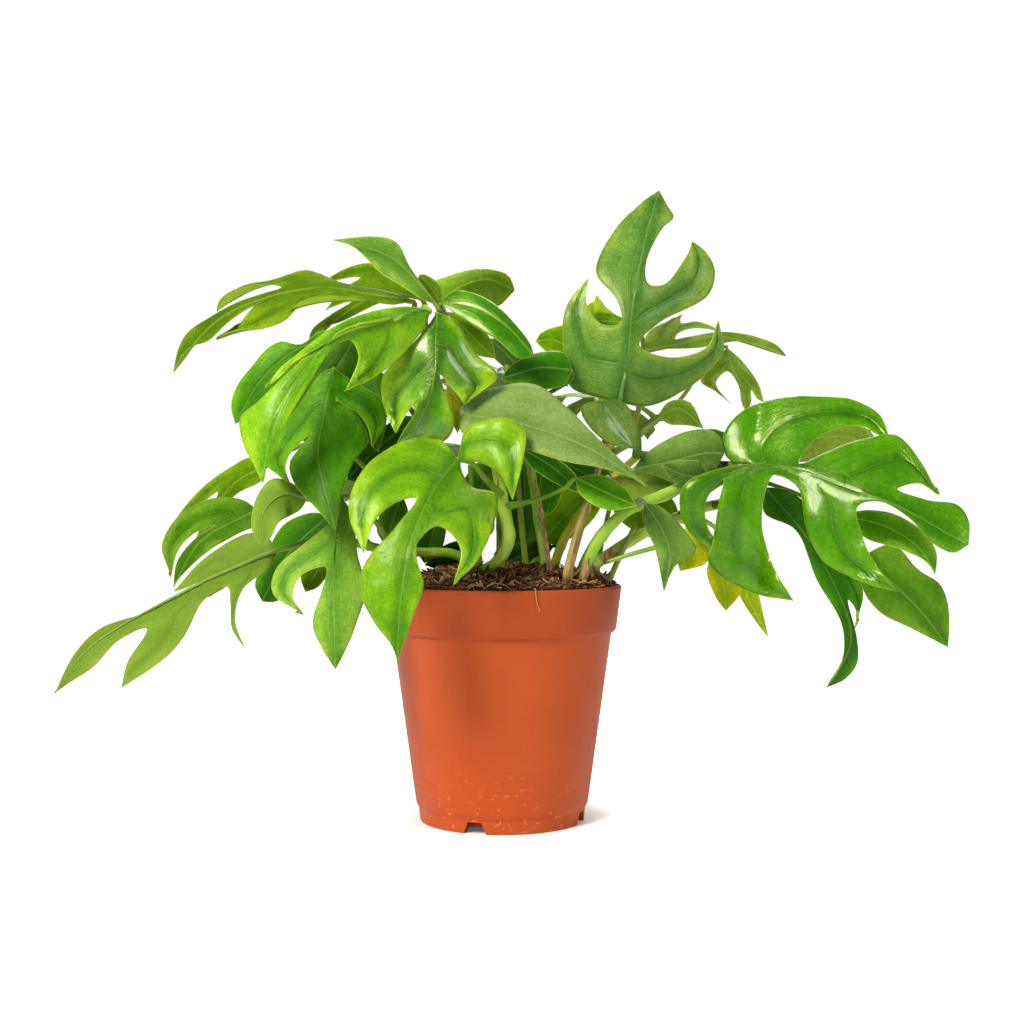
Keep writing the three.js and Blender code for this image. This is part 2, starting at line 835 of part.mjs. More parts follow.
// A full-grown blade drawn flat, 100 long, for the leaves on the far side: [along, across].
const GROWN_BLADE = {
  left: [
    {
      out: [[-9, 10], [-6, 30], [8, 42], [26, 46]],
      tip: [40, 38], back: [[30, 31], [22, 20]], sinus: [28, 12],
    },
    { out: [[38, 16], [46, 30], [56, 38]], tip: [74, 34], back: [[64, 26], [56, 14]], sinus: [60, 8] },
    { out: [[70, 13], [82, 17], [94, 10]] },
  ],
  right: [
    {
      out: [[-8, -12], [-2, -32], [16, -44], [36, -46]],
      tip: [52, -36], back: [[40, -28], [36, -16]], sinus: [42, -9],
    },
    {
      out: [[50, -14], [58, -28], [70, -34]],
      tip: [88, -26], back: [[78, -20], [70, -12]], sinus: [74, -7],
    },
    { out: [[82, -10], [92, -9]] },
  ],
};

// Leaves on the far side: base and stalk in true x, y, z, the heading of the rib seen from
// above in degrees from +X, its climb at the base, how far it bends down, and the roll.
const FAR_LEAVES = [
  {
    name: "leaf_far_low",
    vine: "stem_back",
    length: 112,
    base: [-8, 128, 214],
    stalk: [[-3, 76, 190], [-6, 100, 212]],
    heading: 96, climb: 5, bend: 62, roll: 4, sag: 1,
  },
  {
    name: "leaf_far_left",
    vine: "stem_back",
    length: 108,
    base: [-52, 112, 236],
    stalk: [[-6, 86, 216], [-28, 100, 236]],
    heading: 132, climb: 8, bend: 58, roll: -10, sag: 1,
  },
  {
    name: "leaf_far_right",
    vine: "stem_back",
    length: 104,
    base: [44, 122, 238],
    stalk: [[-6, 92, 232], [18, 110, 246]],
    heading: 62, climb: 6, bend: 60, roll: 10, sag: 1,
  },
  {
    name: "leaf_far_high",
    vine: "stem_back",
    length: 110,
    base: [-4, 122, 290],
    stalk: [[-9, 98, 258], [-10, 106, 282]],
    heading: 88, climb: 24, bend: 66, roll: 0, sag: 1,
  },
  {
    name: "leaf_far_upper_left",
    vine: "stem_back_left",
    length: 96,
    base: [-66, 66, 276],
    stalk: [[-50, 26, 246], [-58, 46, 270]],
    heading: 118, climb: 14, bend: 60, roll: -8, sag: 1,
  },
  {
    name: "leaf_far_upper_right",
    vine: "stem_back_right",
    length: 94,
    base: [66, 112, 272],
    stalk: [[74, 72, 232], [70, 92, 262]],
    heading: 74, climb: 10, bend: 56, roll: 8, sag: 1,
  },
];

const radians = THREE.MathUtils.degToRad;
const mix = THREE.MathUtils.lerp;
const vector = (x, y, z) => new THREE.Vector3(x, y, z);
const curveThrough = (points) => new THREE.CatmullRomCurve3(points, false, "centripetal");

function sighted(x, z, depth) {
  const spread = 1 + depth / SIGHT.distance;
  return vector(x * spread, depth, SIGHT.height + (z - SIGHT.height) * spread);
}

// Solids from closed meshes, and back again.
function solidFrom(positions, triangles) {
  const mesh = new wasm.Mesh({
    numProp: 3,
    vertProperties: new Float32Array(positions),
    triVerts: new Uint32Array(triangles),
  });
  const solid = new wasm.Manifold(mesh);
  return solid.volume() > 0 ? solid : solidFrom(positions, triangles.toReversed());
}

function solidFromGeometry(geometry) {
  const bare = geometry.clone();
  bare.deleteAttribute("normal");
  bare.deleteAttribute("uv");
  const merged = mergeVertices(bare, 1e-3);
  const index = merged.index.array;
  const triangles = [];
  for (let i = 0; i < index.length; i += 3) {
    const [a, b, c] = index.subarray(i, i + 3);
    if (a !== b && b !== c && c !== a) triangles.push(a, b, c);
  }
  return solidFrom(merged.attributes.position.array, triangles);
}

function geometryFrom(solid) {
  const mesh = solid.getMesh();
  const geometry = new THREE.BufferGeometry();
  geometry.setAttribute("position", new THREE.BufferAttribute(mesh.vertProperties, 3));
  geometry.setIndex(new THREE.BufferAttribute(mesh.triVerts, 1));
  geometry.computeVertexNormals();
  return geometry;
}

function largestPiece(solid) {
  const pieces = solid.decompose();
  return pieces.reduce((best, piece) => (piece.volume() > best.volume() ? piece : best));
}

// A round rod along a curve, its radius given by a function of the fraction travelled.
function rod(curve, steps, sides, radiusAt) {
  const frames = curve.computeFrenetFrames(steps, false);
  const positions = [];
  const triangles = [];
  for (let i = 0; i <= steps; i += 1) {
    const centre = curve.getPointAt(i / steps);
    const radius = radiusAt(i / steps);
    for (let j = 0; j < sides; j += 1) {
      const angle = (j / sides) * Math.PI * 2;
      const point = centre.clone()
        .addScaledVector(frames.normals[i], Math.cos(angle) * radius)
        .addScaledVector(frames.binormals[i], Math.sin(angle) * radius);
      positions.push(...point.toArray());
    }
  }
  for (let i = 0; i < steps; i += 1) {
    for (let j = 0; j < sides; j += 1) {
      const a = i * sides + j;
      const b = i * sides + ((j + 1) % sides);
      triangles.push(a, b, a + sides, b, b + sides, a + sides);
    }
  }
  const last = steps * sides;
  for (let j = 1; j < sides - 1; j += 1) {
    triangles.push(0, j + 1, j, last, last + j, last + j + 1);
  }
  return solidFrom(positions, triangles);
}

// Vines rise from below the soil's surface and taper towards their tips.
function vineCurve(vine) {
  const route = vine.route.map((point) => sighted(...point));
  const buried = route[0].clone().add(vector(0, 0, -VINE.rootDepth));
  return curveThrough([buried, ...route]);
}

function vineSolid(vine, extra) {
  const radiusAt = (t) => vine.radius * (1 - VINE.taper * t) + extra;
  return rod(vineCurve(vine), vine.route.length * VINE.stepsPerPoint, VINE.sides, radiusAt);
}

function nearestOn(curve, point) {
  const samples = curve.getSpacedPoints(VINE.samples);
  return samples.reduce((best, p) => (p.distanceTo(point) < best.distanceTo(point) ? p : best));
}

// The margin of one side of a blade as flat points, from the base to just short of the tip.
// A chain of the margin runs from one sharp tip to the next one. A third number, where a
// margin point has one, sets it that much further back.
function marginOf(lobes, ribStart, ribEnd) {
  const margin = [];
  let chain = [ribStart];
  for (const lobe of lobes) {
    chain.push(...lobe.out, lobe.tip ?? ribEnd);
    margin.push(...sampleChain(chain));
    if (lobe.tip) chain = [lobe.tip, ...lobe.back, lobe.sinus];
  }
  return margin.slice(0, -1);
}

// Points along one chain after its first, at about even steps.
function sampleChain(knots) {
  const curve = curveThrough(knots.map(([x, z, depth]) => vector(x, z, depth ?? 0)));
  const samples = [];
  for (let i = 0; i + 1 < knots.length; i += 1) {
    const [a, b] = [knots[i], knots[i + 1]];
    const steps = Math.max(1, Math.round(Math.hypot(b[0] - a[0], b[1] - a[1]) / MARGIN_STEP));
    for (let s = 1; s <= steps; s += 1) {
      samples.push(curve.getPoint((i + s / steps) / (knots.length - 1)));
    }
  }
  return samples;
}

// The blade as one closed solid: both halves are triangulated flat, lifted into place, and
// given the same triangles on both faces with a rim between them.
function bladeSolid(ribFlat, margins, lift) {
  const [left, right] = margins;
  const sideOf = (i) => (i < ribFlat.length + left.length ? 0 : 1);
  const points = [...ribFlat, ...left, ...right];
  const ribIndex = ribFlat.map((_, i) => i);
  const leftIndex = left.map((_, i) => ribFlat.length + i);
  const rightIndex = right.map((_, i) => ribFlat.length + left.length + i);
  const halves = [
    [ribIndex[0], ...leftIndex, ribIndex.at(-1), ...ribIndex.slice(1, -1).toReversed()],
    [...ribIndex, ...rightIndex.toReversed()],
  ];
  const triangles = [];
  for (const loop of halves) {
    const contour = loop.map((i) => new THREE.Vector2(points[i].x, points[i].y));
    const faces = THREE.ShapeUtils.triangulateShape(contour, []);
    for (const face of faces) triangles.push(...face.map((i) => loop[i]));
  }
  const middle = new THREE.BufferGeometry().setFromPoints(points.map((p, i) => lift(p, sideOf(i))));
  middle.setIndex(triangles);
  middle.computeVertexNormals();
  const count = points.length;
  const { position, normal } = middle.attributes;
  const faces = [1, -1].flatMap((way) =>
    points.flatMap((_, i) => {
      const offset = vector().fromBufferAttribute(normal, i).multiplyScalar((way * BLADE_THICKNESS) / 2);
      return vector().fromBufferAttribute(position, i).add(offset).toArray();
    }),
  );
  const solid = [...triangles];
  for (let i = 0; i < triangles.length; i += 3) {
    solid.push(triangles[i + 2] + count, triangles[i + 1] + count, triangles[i] + count);
  }
  const edges = new Set();
  for (let i = 0; i < triangles.length; i += 3) {
    for (let j = 0; j < 3; j += 1) edges.add(`${triangles[i + j]},${triangles[i + ((j + 1) % 3)]}`);
  }
  for (const edge of edges) {
    const [a, b] = edge.split(",").map(Number);
    if (!edges.has(`${b},${a}`)) solid.push(b, a, a + count, b, a + count, b + count);
  }
  return solidFrom(faces, solid);
}

// The leaf stalk from the vine's centre line to a little way along under the rib.
function stalkSolid(vine, bends, ribStart, ribOn) {
  const start = nearestOn(vineCurve(vine), bends[0]);
  const curve = curveThrough([start, ...bends.slice(1), ribStart, ribOn]);
  const steps = Math.max(STALK.leastSteps, Math.round(curve.getLength() / STALK.step));
  const radiusAt = (t) => mix(STALK.vineRadius, STALK.bladeRadius, Math.min(1, t / STALK.slimFrom));
  return rod(curve, steps, STALK.sides, radiusAt);
}

function joinLeaf(blade, stalk, vine) {
  return largestPiece(blade.add(stalk).subtract(vineSolid(vine, CLEAR)));
}

// A blade seen from the front falls away from its rib by lean and curl, side by side.
function leafSolid(leaf) {
  const vine = VINES.find(({ name }) => name === leaf.vine);
  const rib = curveThrough(leaf.rib.map((point) => vector(...point)));
  const ribFlat = rib.getSpacedPoints(RIB_STEPS).map(({ x, y }) => vector(x, y, 0));
  const ribLine = rib.getSpacedPoints(RIB_STEPS * 5);
  const lift = (flat, side) => {
    const { out, depth } = fromRib(flat, ribLine);
    const fall = leaf.lean[side] * out + (leaf.curl[side] * out * out) / 100;
    return sighted(flat.x, flat.y, depth + fall + flat.z);
  };
  const [base, tip] = [leaf.rib[0], leaf.rib.at(-1)].map((point) => point.slice(0, 2));
  const margins = [leaf.left, leaf.right].map((lobes) => marginOf(lobes, base, tip));
  const blade = bladeSolid(ribFlat, margins, lift);
  const bends = leaf.stalk.map((point) => sighted(...point));
  const knee = sighted(...leaf.rib[0]);
  const below = sighted(...rib.getPointAt(STALK.underBlade));
  const stalk = stalkSolid(vine, bends, knee, below);
  return joinLeaf(blade, stalk, vine);
}

// How far a flat point lies from the rib as seen, and the rib's depth at the nearest place.
function fromRib(flat, ribLine) {
  let best = { out: Infinity, depth: 0 };
  for (let i = 0; i + 1 < ribLine.length; i += 1) {
    const [a, b] = [ribLine[i], ribLine[i + 1]];
    const [dx, dz] = [b.x - a.x, b.y - a.y];
    const share = ((flat.x - a.x) * dx + (flat.y - a.y) * dz) / (dx * dx + dz * dz);
    const held = THREE.MathUtils.clamp(share, 0, 1);
    const out = Math.hypot(flat.x - a.x - held * dx, flat.y - a.y - held * dz);
    if (out < best.out) best = { out, depth: mix(a.z, b.z, held) };
  }
  return best;
}

// A far leaf bends the flat blade down along its rib, folds it and lets its sides sag.
function farLeafSolid(leaf) {
  const vine = VINES.find(({ name }) => name === leaf.vine);
  const scale = leaf.length / 100;
  const ahead = vector(Math.cos(radians(leaf.heading)), Math.sin(radians(leaf.heading)), 0);
  const up = vector(0, 0, 1);
  const across = up.clone().cross(ahead).applyAxisAngle(ahead, radians(leaf.roll));
  const base = vector(...leaf.base);
  const pitchAt = (along) => radians(leaf.climb - leaf.bend * THREE.MathUtils.clamp(along / 100, 0, 1));
  const ribPoint = (along) => {
    const point = base.clone();
    for (let i = 0; i < RIB_STEPS; i += 1) {
      const pitch = pitchAt((along * (i + 0.5)) / RIB_STEPS);
      point.addScaledVector(ahead, (Math.cos(pitch) * along * scale) / RIB_STEPS);
      point.addScaledVector(up, (Math.sin(pitch) * along * scale) / RIB_STEPS);
    }
    return point;
  };
  const lift = (flat) => {
    const pitch = pitchAt(flat.x);
    const out = flat.y * scale;
    const above = up.clone().multiplyScalar(Math.cos(pitch)).addScaledVector(ahead, -Math.sin(pitch));
    const rise = Math.abs(out) * FAR_FOLD - (leaf.sag * out * out) / 100;
    return ribPoint(flat.x).addScaledVector(across, out).addScaledVector(above, rise);
  };
  const ribFlat = Array.from({ length: RIB_STEPS + 1 }, (_, i) => vector((i / RIB_STEPS) * 100, 0, 0));
  const margins = [GROWN_BLADE.left, GROWN_BLADE.right].map((lobes) => marginOf(lobes, [0, 0], [100, 0]));
  const blade = bladeSolid(ribFlat, margins, lift);
  const bends = leaf.stalk.map((point) => vector(...point));
  const stalk = stalkSolid(vine, bends, base, ribPoint(STALK.underBlade * 100));
  return joinLeaf(blade, stalk, vine);
}

// The pot is a turned profile with drain slots cut through its foot.
function potSolid() {
  const p = POT;
  const bandFoot = p.height - p.bandHeight;
  const innerFoot = p.bodyFootRadius - p.wall;
  const standFrom = p.footRadius - p.standRingWidth;
  const profile = [
    [0, 0],
    [p.centreDiscRadius, 0],
    [p.centreDiscRadius + 1, p.recess],
    [standFrom, p.recess],
    [standFrom, 0],
    [p.footRadius, 0],
    [p.footRadius + p.footFlare, p.footStepHeight],
    [p.bodyFootRadius, p.shoulderHeight],
    [p.bodyTopRadius, bandFoot - p.bandUndercut],
    [p.bandFootRadius - p.bandRound, bandFoot - p.bandUndercut / 2],
    [p.bandFootRadius, bandFoot + p.bandRound],
    [p.rimRadius, p.height - p.bandRound],
    [p.rimRadius - p.bandRound, p.height],
    [p.rimRadius - p.wall, p.height],
    [p.bodyTopRadius - p.wall, bandFoot - p.innerStep],
    [innerFoot, p.shoulderHeight],
    [innerFoot - p.floorRound, p.floorTop],
    [0, p.floorTop],
  ];
  const points = profile.map(([radius, height]) => new THREE.Vector2(radius, height));
  const turned = new THREE.LatheGeometry(points, p.sides).rotateX(Math.PI / 2);
  let pot = solidFromGeometry(turned);
  for (let i = 0; i < SLOT.count; i += 1) {
    const cut = new THREE.BoxGeometry(SLOT.reach * 2, SLOT.width, SLOT.top * 2);
    cut.translate(p.bodyFootRadius, 0, 0);
    cut.rotateZ(radians(SLOT.firstAngle + (i * 360) / SLOT.count));
    pot = pot.subtract(solidFromGeometry(cut));
  }
  return pot;
}

// The mix fills the pot to its wall, with a lumpy heaped top and a plain hole at each vine.
function mixSolid() {
  const bandFoot = POT.height - POT.bandHeight;
  const wallRadius = POT.rimRadius - POT.wall - CLEAR;
  const top = POT.height - MIX.belowRim;
  const inner = POT.bodyFootRadius - POT.wall - CLEAR;
  const profile = [
    [inner - POT.floorRound, POT.floorTop + CLEAR],
    [inner, POT.shoulderHeight],
    [POT.bodyTopRadius - POT.wall - CLEAR, bandFoot - POT.innerStep],
    [wallRadius, top],
  ];
  const rings = profile.map(([radius, height]) => () => [radius, height]);
  for (let i = 1; i < MIX.rings; i += 1) {
    const share = 1 - i / MIX.rings;
    rings.push((angle) => {
      const lumps = Math.sin(angle * 5 + i * 2.1) + Math.sin(angle * 9 - i * 1.3);
      return [wallRadius * share, top + MIX.heap * (1 - share ** 2) + MIX.lump * lumps];
    });
  }
  const positions = [0, 0, POT.floorTop + CLEAR];
  for (const ring of rings) {
    for (let j = 0; j < MIX.sides; j += 1) {
      const angle = (j / MIX.sides) * Math.PI * 2;
      const [radius, height] = ring(angle);
      positions.push(Math.cos(angle) * radius, Math.sin(angle) * radius, height);
    }
  }
  positions.push(0, 0, top + MIX.heap);
  const peak = positions.length / 3 - 1;
  const triangles = [];
  for (let j = 0; j < MIX.sides; j += 1) {
    const next = (j + 1) % MIX.sides;
    triangles.push(0, 1 + next, 1 + j);
    for (let i = 0; i + 1 < rings.length; i += 1) {
      const a = 1 + i * MIX.sides + j;
      const b = 1 + i * MIX.sides + next;
      triangles.push(a, b, a + MIX.sides, b, b + MIX.sides, a + MIX.sides);
    }
    const last = 1 + (rings.length - 1) * MIX.sides;
    triangles.push(last + j, last + next, peak);
  }
  let soil = solidFrom(positions, triangles);
  for (const vine of VINES) soil = soil.subtract(vineSolid(vine, CLEAR));
  return largestPiece(soil);
}

// Finishes, and the whole plant put together.
const FINISH = {
  pot: { color: 0xb8562c, roughness: 0.55 },
  mix: { color: 0x3a2416, roughness: 1 },
  vine: { color: 0x6f8f3a, roughness: 0.55 },
  leaf: { color: 0x3f7d22, roughness: 0.42 },
};

function part(name, solid, finish) {
  const material = new THREE.MeshStandardMaterial({ ...finish, metalness: 0 });
  const mesh = new THREE.Mesh(geometryFrom(solid), material);
  mesh.name = name;
  return mesh;
}

const plant = new THREE.Group();
plant.add(part("pot", potSolid(), FINISH.pot));
plant.add(part("soil", mixSolid(), FINISH.mix));
for (const vine of VINES) plant.add(part(vine.name, vineSolid(vine, 0), FINISH.vine));
for (const leaf of LEAVES) plant.add(part(leaf.name, leafSolid(leaf), FINISH.leaf));
for (const leaf of FAR_LEAVES) plant.add(part(leaf.name, farLeafSolid(leaf), FINISH.leaf));

export default plant;
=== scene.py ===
# A potted Rhaphidophora tetrasperma: a bushy climbing aroid with split, hand-like leaves on long
# arching stalks, several vines rising from peaty mix in a round nursery pot. Sizes are in
# millimetres and become metres as each mesh is made; the front of the plant is towards -Y.
from functools import partial
import bpy
import numpy as np
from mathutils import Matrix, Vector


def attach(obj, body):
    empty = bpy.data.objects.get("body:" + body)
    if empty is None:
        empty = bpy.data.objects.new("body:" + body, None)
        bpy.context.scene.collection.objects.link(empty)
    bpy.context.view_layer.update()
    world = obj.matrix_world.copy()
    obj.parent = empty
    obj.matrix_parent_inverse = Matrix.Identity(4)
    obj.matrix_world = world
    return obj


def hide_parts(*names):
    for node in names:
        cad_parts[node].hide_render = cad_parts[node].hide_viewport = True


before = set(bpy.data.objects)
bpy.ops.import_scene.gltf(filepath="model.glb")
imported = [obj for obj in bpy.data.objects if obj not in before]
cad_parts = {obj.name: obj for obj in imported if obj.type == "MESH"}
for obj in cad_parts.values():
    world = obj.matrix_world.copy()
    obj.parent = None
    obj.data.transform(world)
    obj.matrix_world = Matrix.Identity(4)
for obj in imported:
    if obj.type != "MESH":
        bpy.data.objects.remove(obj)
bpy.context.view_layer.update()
scene = bpy.context.scene

# The photographer's side: a white sweep that runs out to white close round the pot, a large soft
# light high on the left, small crisp ones on the right and behind, and a long lens level with
# the lowest leaves.
EYE_DISTANCE = 964
EYE_HEIGHT = 200
LENS = 53.8
POT_AXIS_PIXEL = 502
HORIZON_PIXEL = 500
FRAME_PIXELS = 1024
SWEEP_SIDE = 9000
AMBIENT = 0.16
SEEN_WHITE = 1.05
# Painted shadow: out to the first of these distances from the pot's axis the card is painted grey, fading to
# white by the second; its glow to the camera rises from the second to the third.
PAINTED_SHADOW_EDGE = 40
FOOT_EDGE = 50
SHADOW_REACH = 95
LIGHTS = [
    # name, place, aimed at, side, watts, colour
    ("key", (-800, -1150, 1250), (0, 0, 220), 600, 39.0, "#fffaf0"),
    ("fill", (1150, -800, 1000), (0, 0, 230), 420, 6.0, "#fffdf8"),
    ("back", (250, 1200, 1300), (0, 0, 260), 800, 14.0, "#fffef6"),
]


def linear(code):
    """An sRGB hex value as linear red, green and blue, with alpha one."""
    share = np.array([int(code[i:i + 2], 16) for i in (1, 3, 5)]) / 255
    value = np.where(share <= 0.04045, share / 12.92, ((share + 0.055) / 1.055) ** 2.4)
    return (*value.tolist(), 1.0)


def add_node(tree, kind, *values, out=0, **named):
    """Adds a node. Lower-case names are its settings; values fill its open inputs in order, and
    capitalised names are single inputs. Gives the open output asked for, or the node for None."""
    made = tree.nodes.new("ShaderNode" + kind)
    for key, value in named.items():
        if key[0].islower():
            setattr(made, key, value)
    given = list(zip([socket for socket in made.inputs if socket.enabled], values))
    given += [(made.inputs[key.replace("_", " ")], value) for key, value in named.items() if key[0].isupper()]
    for socket, value in given:
        if isinstance(value, bpy.types.NodeSocket):
            tree.links.new(value, socket)
        else:
            socket.default_value = linear(value) if isinstance(value, str) else value
    if isinstance(out, int):
        return [socket for socket in made.outputs if socket.enabled][out]
    return made if out is None else made.outputs[out]


def bare_material(name):
    """A new material with no nodes yet, and add_node bound to its tree."""
    material = bpy.data.materials.new(name)
    material.use_nodes = True
    material.node_tree.nodes.clear()
    return material, partial(add_node, material.node_tree)


def grid_faces(rows, columns, closed=False):
    """Two triangles for each cell of a grid of points numbered row by row; closed joins the last
    column to the first."""
    row = np.arange(rows - 1)[:, None]
    column = np.arange(columns if closed else columns - 1)[None]
    after = (column + 1) % columns
    a, b = row * columns + column, row * columns + after
    c, d = a + columns, b + columns
    halves = np.stack([a, b, d], -1), np.stack([a, d, c], -1)
    return np.concatenate([half.reshape(-1, 3) for half in halves])


def make_object(name, points, faces, material, maps=None, values=None, crisp=None):
    """A mesh object from millimetre points and triangles, with UV maps given for each corner of
    each triangle and values for each point; smooth but for the triangles marked as crisp."""
    mesh = bpy.data.meshes.new(name)
    mesh.vertices.add(len(points))
    mesh.vertices.foreach_set("co", (np.asarray(points) / 1000).astype(np.float32).ravel())
    mesh.loops.add(faces.size)
    mesh.loops.foreach_set("vertex_index", faces.astype(np.int32).ravel())
    mesh.polygons.add(len(faces))
    mesh.polygons.foreach_set("loop_start", np.arange(0, faces.size, 3, dtype=np.int32))
    mesh.update(calc_edges=True)
    mesh.polygons.foreach_set("use_smooth", np.ones(len(faces), bool) if crisp is None else ~crisp)
    for key, corner_uv in (maps or {}).items():
        layer = mesh.uv_layers.new(name=key)
        layer.data.foreach_set("uv", np.asarray(corner_uv, np.float32).ravel())
    for key, value in (values or {}).items():
        layer = mesh.attributes.new(key, "FLOAT", "POINT")
        layer.data.foreach_set("value", np.asarray(value, np.float32))
    mesh.materials.append(material)
    made = bpy.data.objects.new(name, mesh)
    scene.collection.objects.link(made)
    return made


def add_piece(name, slot, points, faces, material, maps=None, values=None, replaced=(), crisp=None):
    """A finished piece of the plant: it rides on the one body and stands for the nodes named."""
    piece = make_object(name, points, faces, material, maps, values, crisp)
    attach(piece, "root")
    if replaced:
        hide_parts(*replaced)
    return piece


def white_card():
    """Matt white card that glows to the camera a little way from the pot, so that it runs out to pure
    white there, as a sweep does, while the shadow under the pot stays; close round the pot's foot
    it is painted grey, a painted shadow under the pot."""
    material, add = bare_material("white_card_matt")
    place = add("TexCoord", out="Object")
    tooth = add("TexNoise", place, Scale=400.0, Detail=2.0)
    tone = add("Mix", tooth, "#f4f4f3", "#fafaf9", data_type="RGBA")
    away = add("VectorMath", place, operation="LENGTH")
    dark, near, far = PAINTED_SHADOW_EDGE / 1000, FOOT_EDGE / 1000, SHADOW_REACH / 1000
    # Painted shadow: close round the pot's foot the card's colour fades to grey, for the shadow under the
    # pot.
    damp = add("MapRange", away, dark, near, interpolation_type="SMOOTHSTEP")
    tone = add("Mix", damp, "#a2a5a3", tone, data_type="RGBA")
    glow = add("MapRange", away, near, far, 0.1, 1.0, interpolation_type="SMOOTHSTEP")
    straight = add("LightPath", out="Is Camera Ray")
    seen_glow = add("Math", glow, straight, operation="MULTIPLY")
    surface = add("BsdfPrincipled", Base_Color=tone, Roughness=0.95, Emission_Color=(1, 1, 1, 1),
                  Emission_Strength=seen_glow)
    add("OutputMaterial", surface, out=None)
    return material


half_sweep = SWEEP_SIDE / 2
sweep_corners = np.array([[-1, -1, 0], [1, -1, 0], [-1, 1, 0], [1, 1, 0]]) * half_sweep
sweep = make_object("sweep", sweep_corners, grid_faces(2, 2), white_card())

for name, place, aim, side, watts, colour in LIGHTS:
    lamp = bpy.data.lights.new(name, "AREA")
    lamp.size = side / 1000
    lamp.energy = watts
    lamp.color = linear(colour)[:3]
    holder = bpy.data.objects.new(name, lamp)
    scene.collection.objects.link(holder)
    aim_line = Vector(np.subtract(aim, place) / 1000)
    holder.location = Vector(place) / 1000
    holder.rotation_euler = aim_line.to_track_quat("-Z", "Y").to_euler()

world = bpy.data.worlds.new("white_surround")
scene.world = world
world.use_nodes = True
world.node_tree.nodes.clear()
seen = add_node(world.node_tree, "Background", "#ffffff", SEEN_WHITE)
felt = add_node(world.node_tree, "Background", "#fbfcff", AMBIENT)
straight = add_node(world.node_tree, "LightPath", out="Is Camera Ray")
surround = add_node(world.node_tree, "MixShader", straight, felt, seen)
add_node(world.node_tree, "OutputWorld", surround, out=None)

lens = bpy.data.cameras.new("long_lens")
lens.lens = LENS
lens.shift_x = (FRAME_PIXELS / 2 - POT_AXIS_PIXEL) / FRAME_PIXELS
lens.shift_y = (HORIZON_PIXEL - FRAME_PIXELS / 2) / FRAME_PIXELS
camera = bpy.data.objects.new("long_lens", lens)
camera.location = (0, -EYE_DISTANCE / 1000, EYE_HEIGHT / 1000)
camera.rotation_euler = (np.pi / 2, 0, 0)
scene.collection.objects.link(camera)
scene.camera = camera
scene.view_settings.view_transform = "Standard"

# The pot: a 15 cm nursery pot injection-moulded in terracotta-coloured polypropylene, with a deep
# plain rim band, a step above the foot and four drain slots. The mould leaves soft round edges
# and a satin skin, which handling has scuffed near the foot.
POT_HEIGHT = 147
RIM_RADIUS = 75
BAND_HEIGHT = 28
BAND_FOOT_RADIUS = 71.8
BODY_TOP_RADIUS = 68.8
BODY_FOOT_RADIUS = 54
FOOT_RADIUS = 51.6
FOOT_FLARE = 0.6
FOOT_STEP_HEIGHT = 8
SHOULDER_HEIGHT = 11
POT_WALL = 1.8
FLOOR_TOP = 4.6
RECESS = 2.4
STAND_RING_WIDTH = 7
CENTRE_DISC_RADIUS = 20
POT_SIDES = 240
CORNER_STEPS = 5
SLOTS = 4
SLOT_WIDTH = 9
SLOT_FLARE = 3.5
SLOT_BOTTOM = -2
SLOT_TOP = 7
SLOT_DEPTH = 11
SLOT_FIRST_ANGLE = np.radians(-108.6)
CREASE_ANGLE = np.radians(50)


def unit(vectors):
    """Each vector divided by its own length."""
    return vectors / np.maximum(np.linalg.norm(vectors, axis=-1, keepdims=True), 1e-9)


def rounded_profile(corners):
    """A profile with its corners rounded: each [radius, height, round] corner becomes a curve that
    starts and ends that far along its two edges, the squares of the shares weighing its ends."""
    at = np.array([corner[:2] for corner in corners], float)
    room = np.array([corner[2] for corner in corners], float)[1:-1, None]
    before = at[1:-1] + unit(at[:-2] - at[1:-1]) * room
    after = at[1:-1] + unit(at[2:] - at[1:-1]) * room
    share = np.linspace(0, 1, CORNER_STEPS)[None, :, None]
    bend = ((1 - share) ** 2 * before[:, None] + 2 * share * (1 - share) * at[1:-1, None]
            + share ** 2 * after[:, None])
    return np.vstack([at[:1], bend.reshape(-1, 2), at[-1:]])


def closed_rings(rings, sides):
    """The faces of rings joined in order. Fans close the low end on the first point after the
    rings, and the high end on the second."""
    j = np.arange(sides)
    after = (j + 1) % sides
    end = (rings - 1) * sides
    low = np.stack([np.full(sides, end + sides), after, j], -1)
    high = np.stack([np.full(sides, end + sides + 1), end + j, end + after], -1)
    return np.concatenate([grid_faces(rings, sides, True), low, high])


def turned(profile, sides):
    """A profile of radius and height, from axis to axis, carried round the upright axis; the rings
    on the axis shrink to one point each."""
    angle = np.arange(sides) * 2 * np.pi / sides
    inner = profile[1:-1]
    ring = np.stack([inner[:, :1] * np.cos(angle), inner[:, :1] * np.sin(angle),
                     np.repeat(inner[:, 1:], sides, 1)], -1).reshape(-1, 3)
    points = np.vstack([ring, [0, 0, profile[0, 1]], [0, 0, profile[-1, 1]]])
    return points, closed_rings(len(inner), sides)


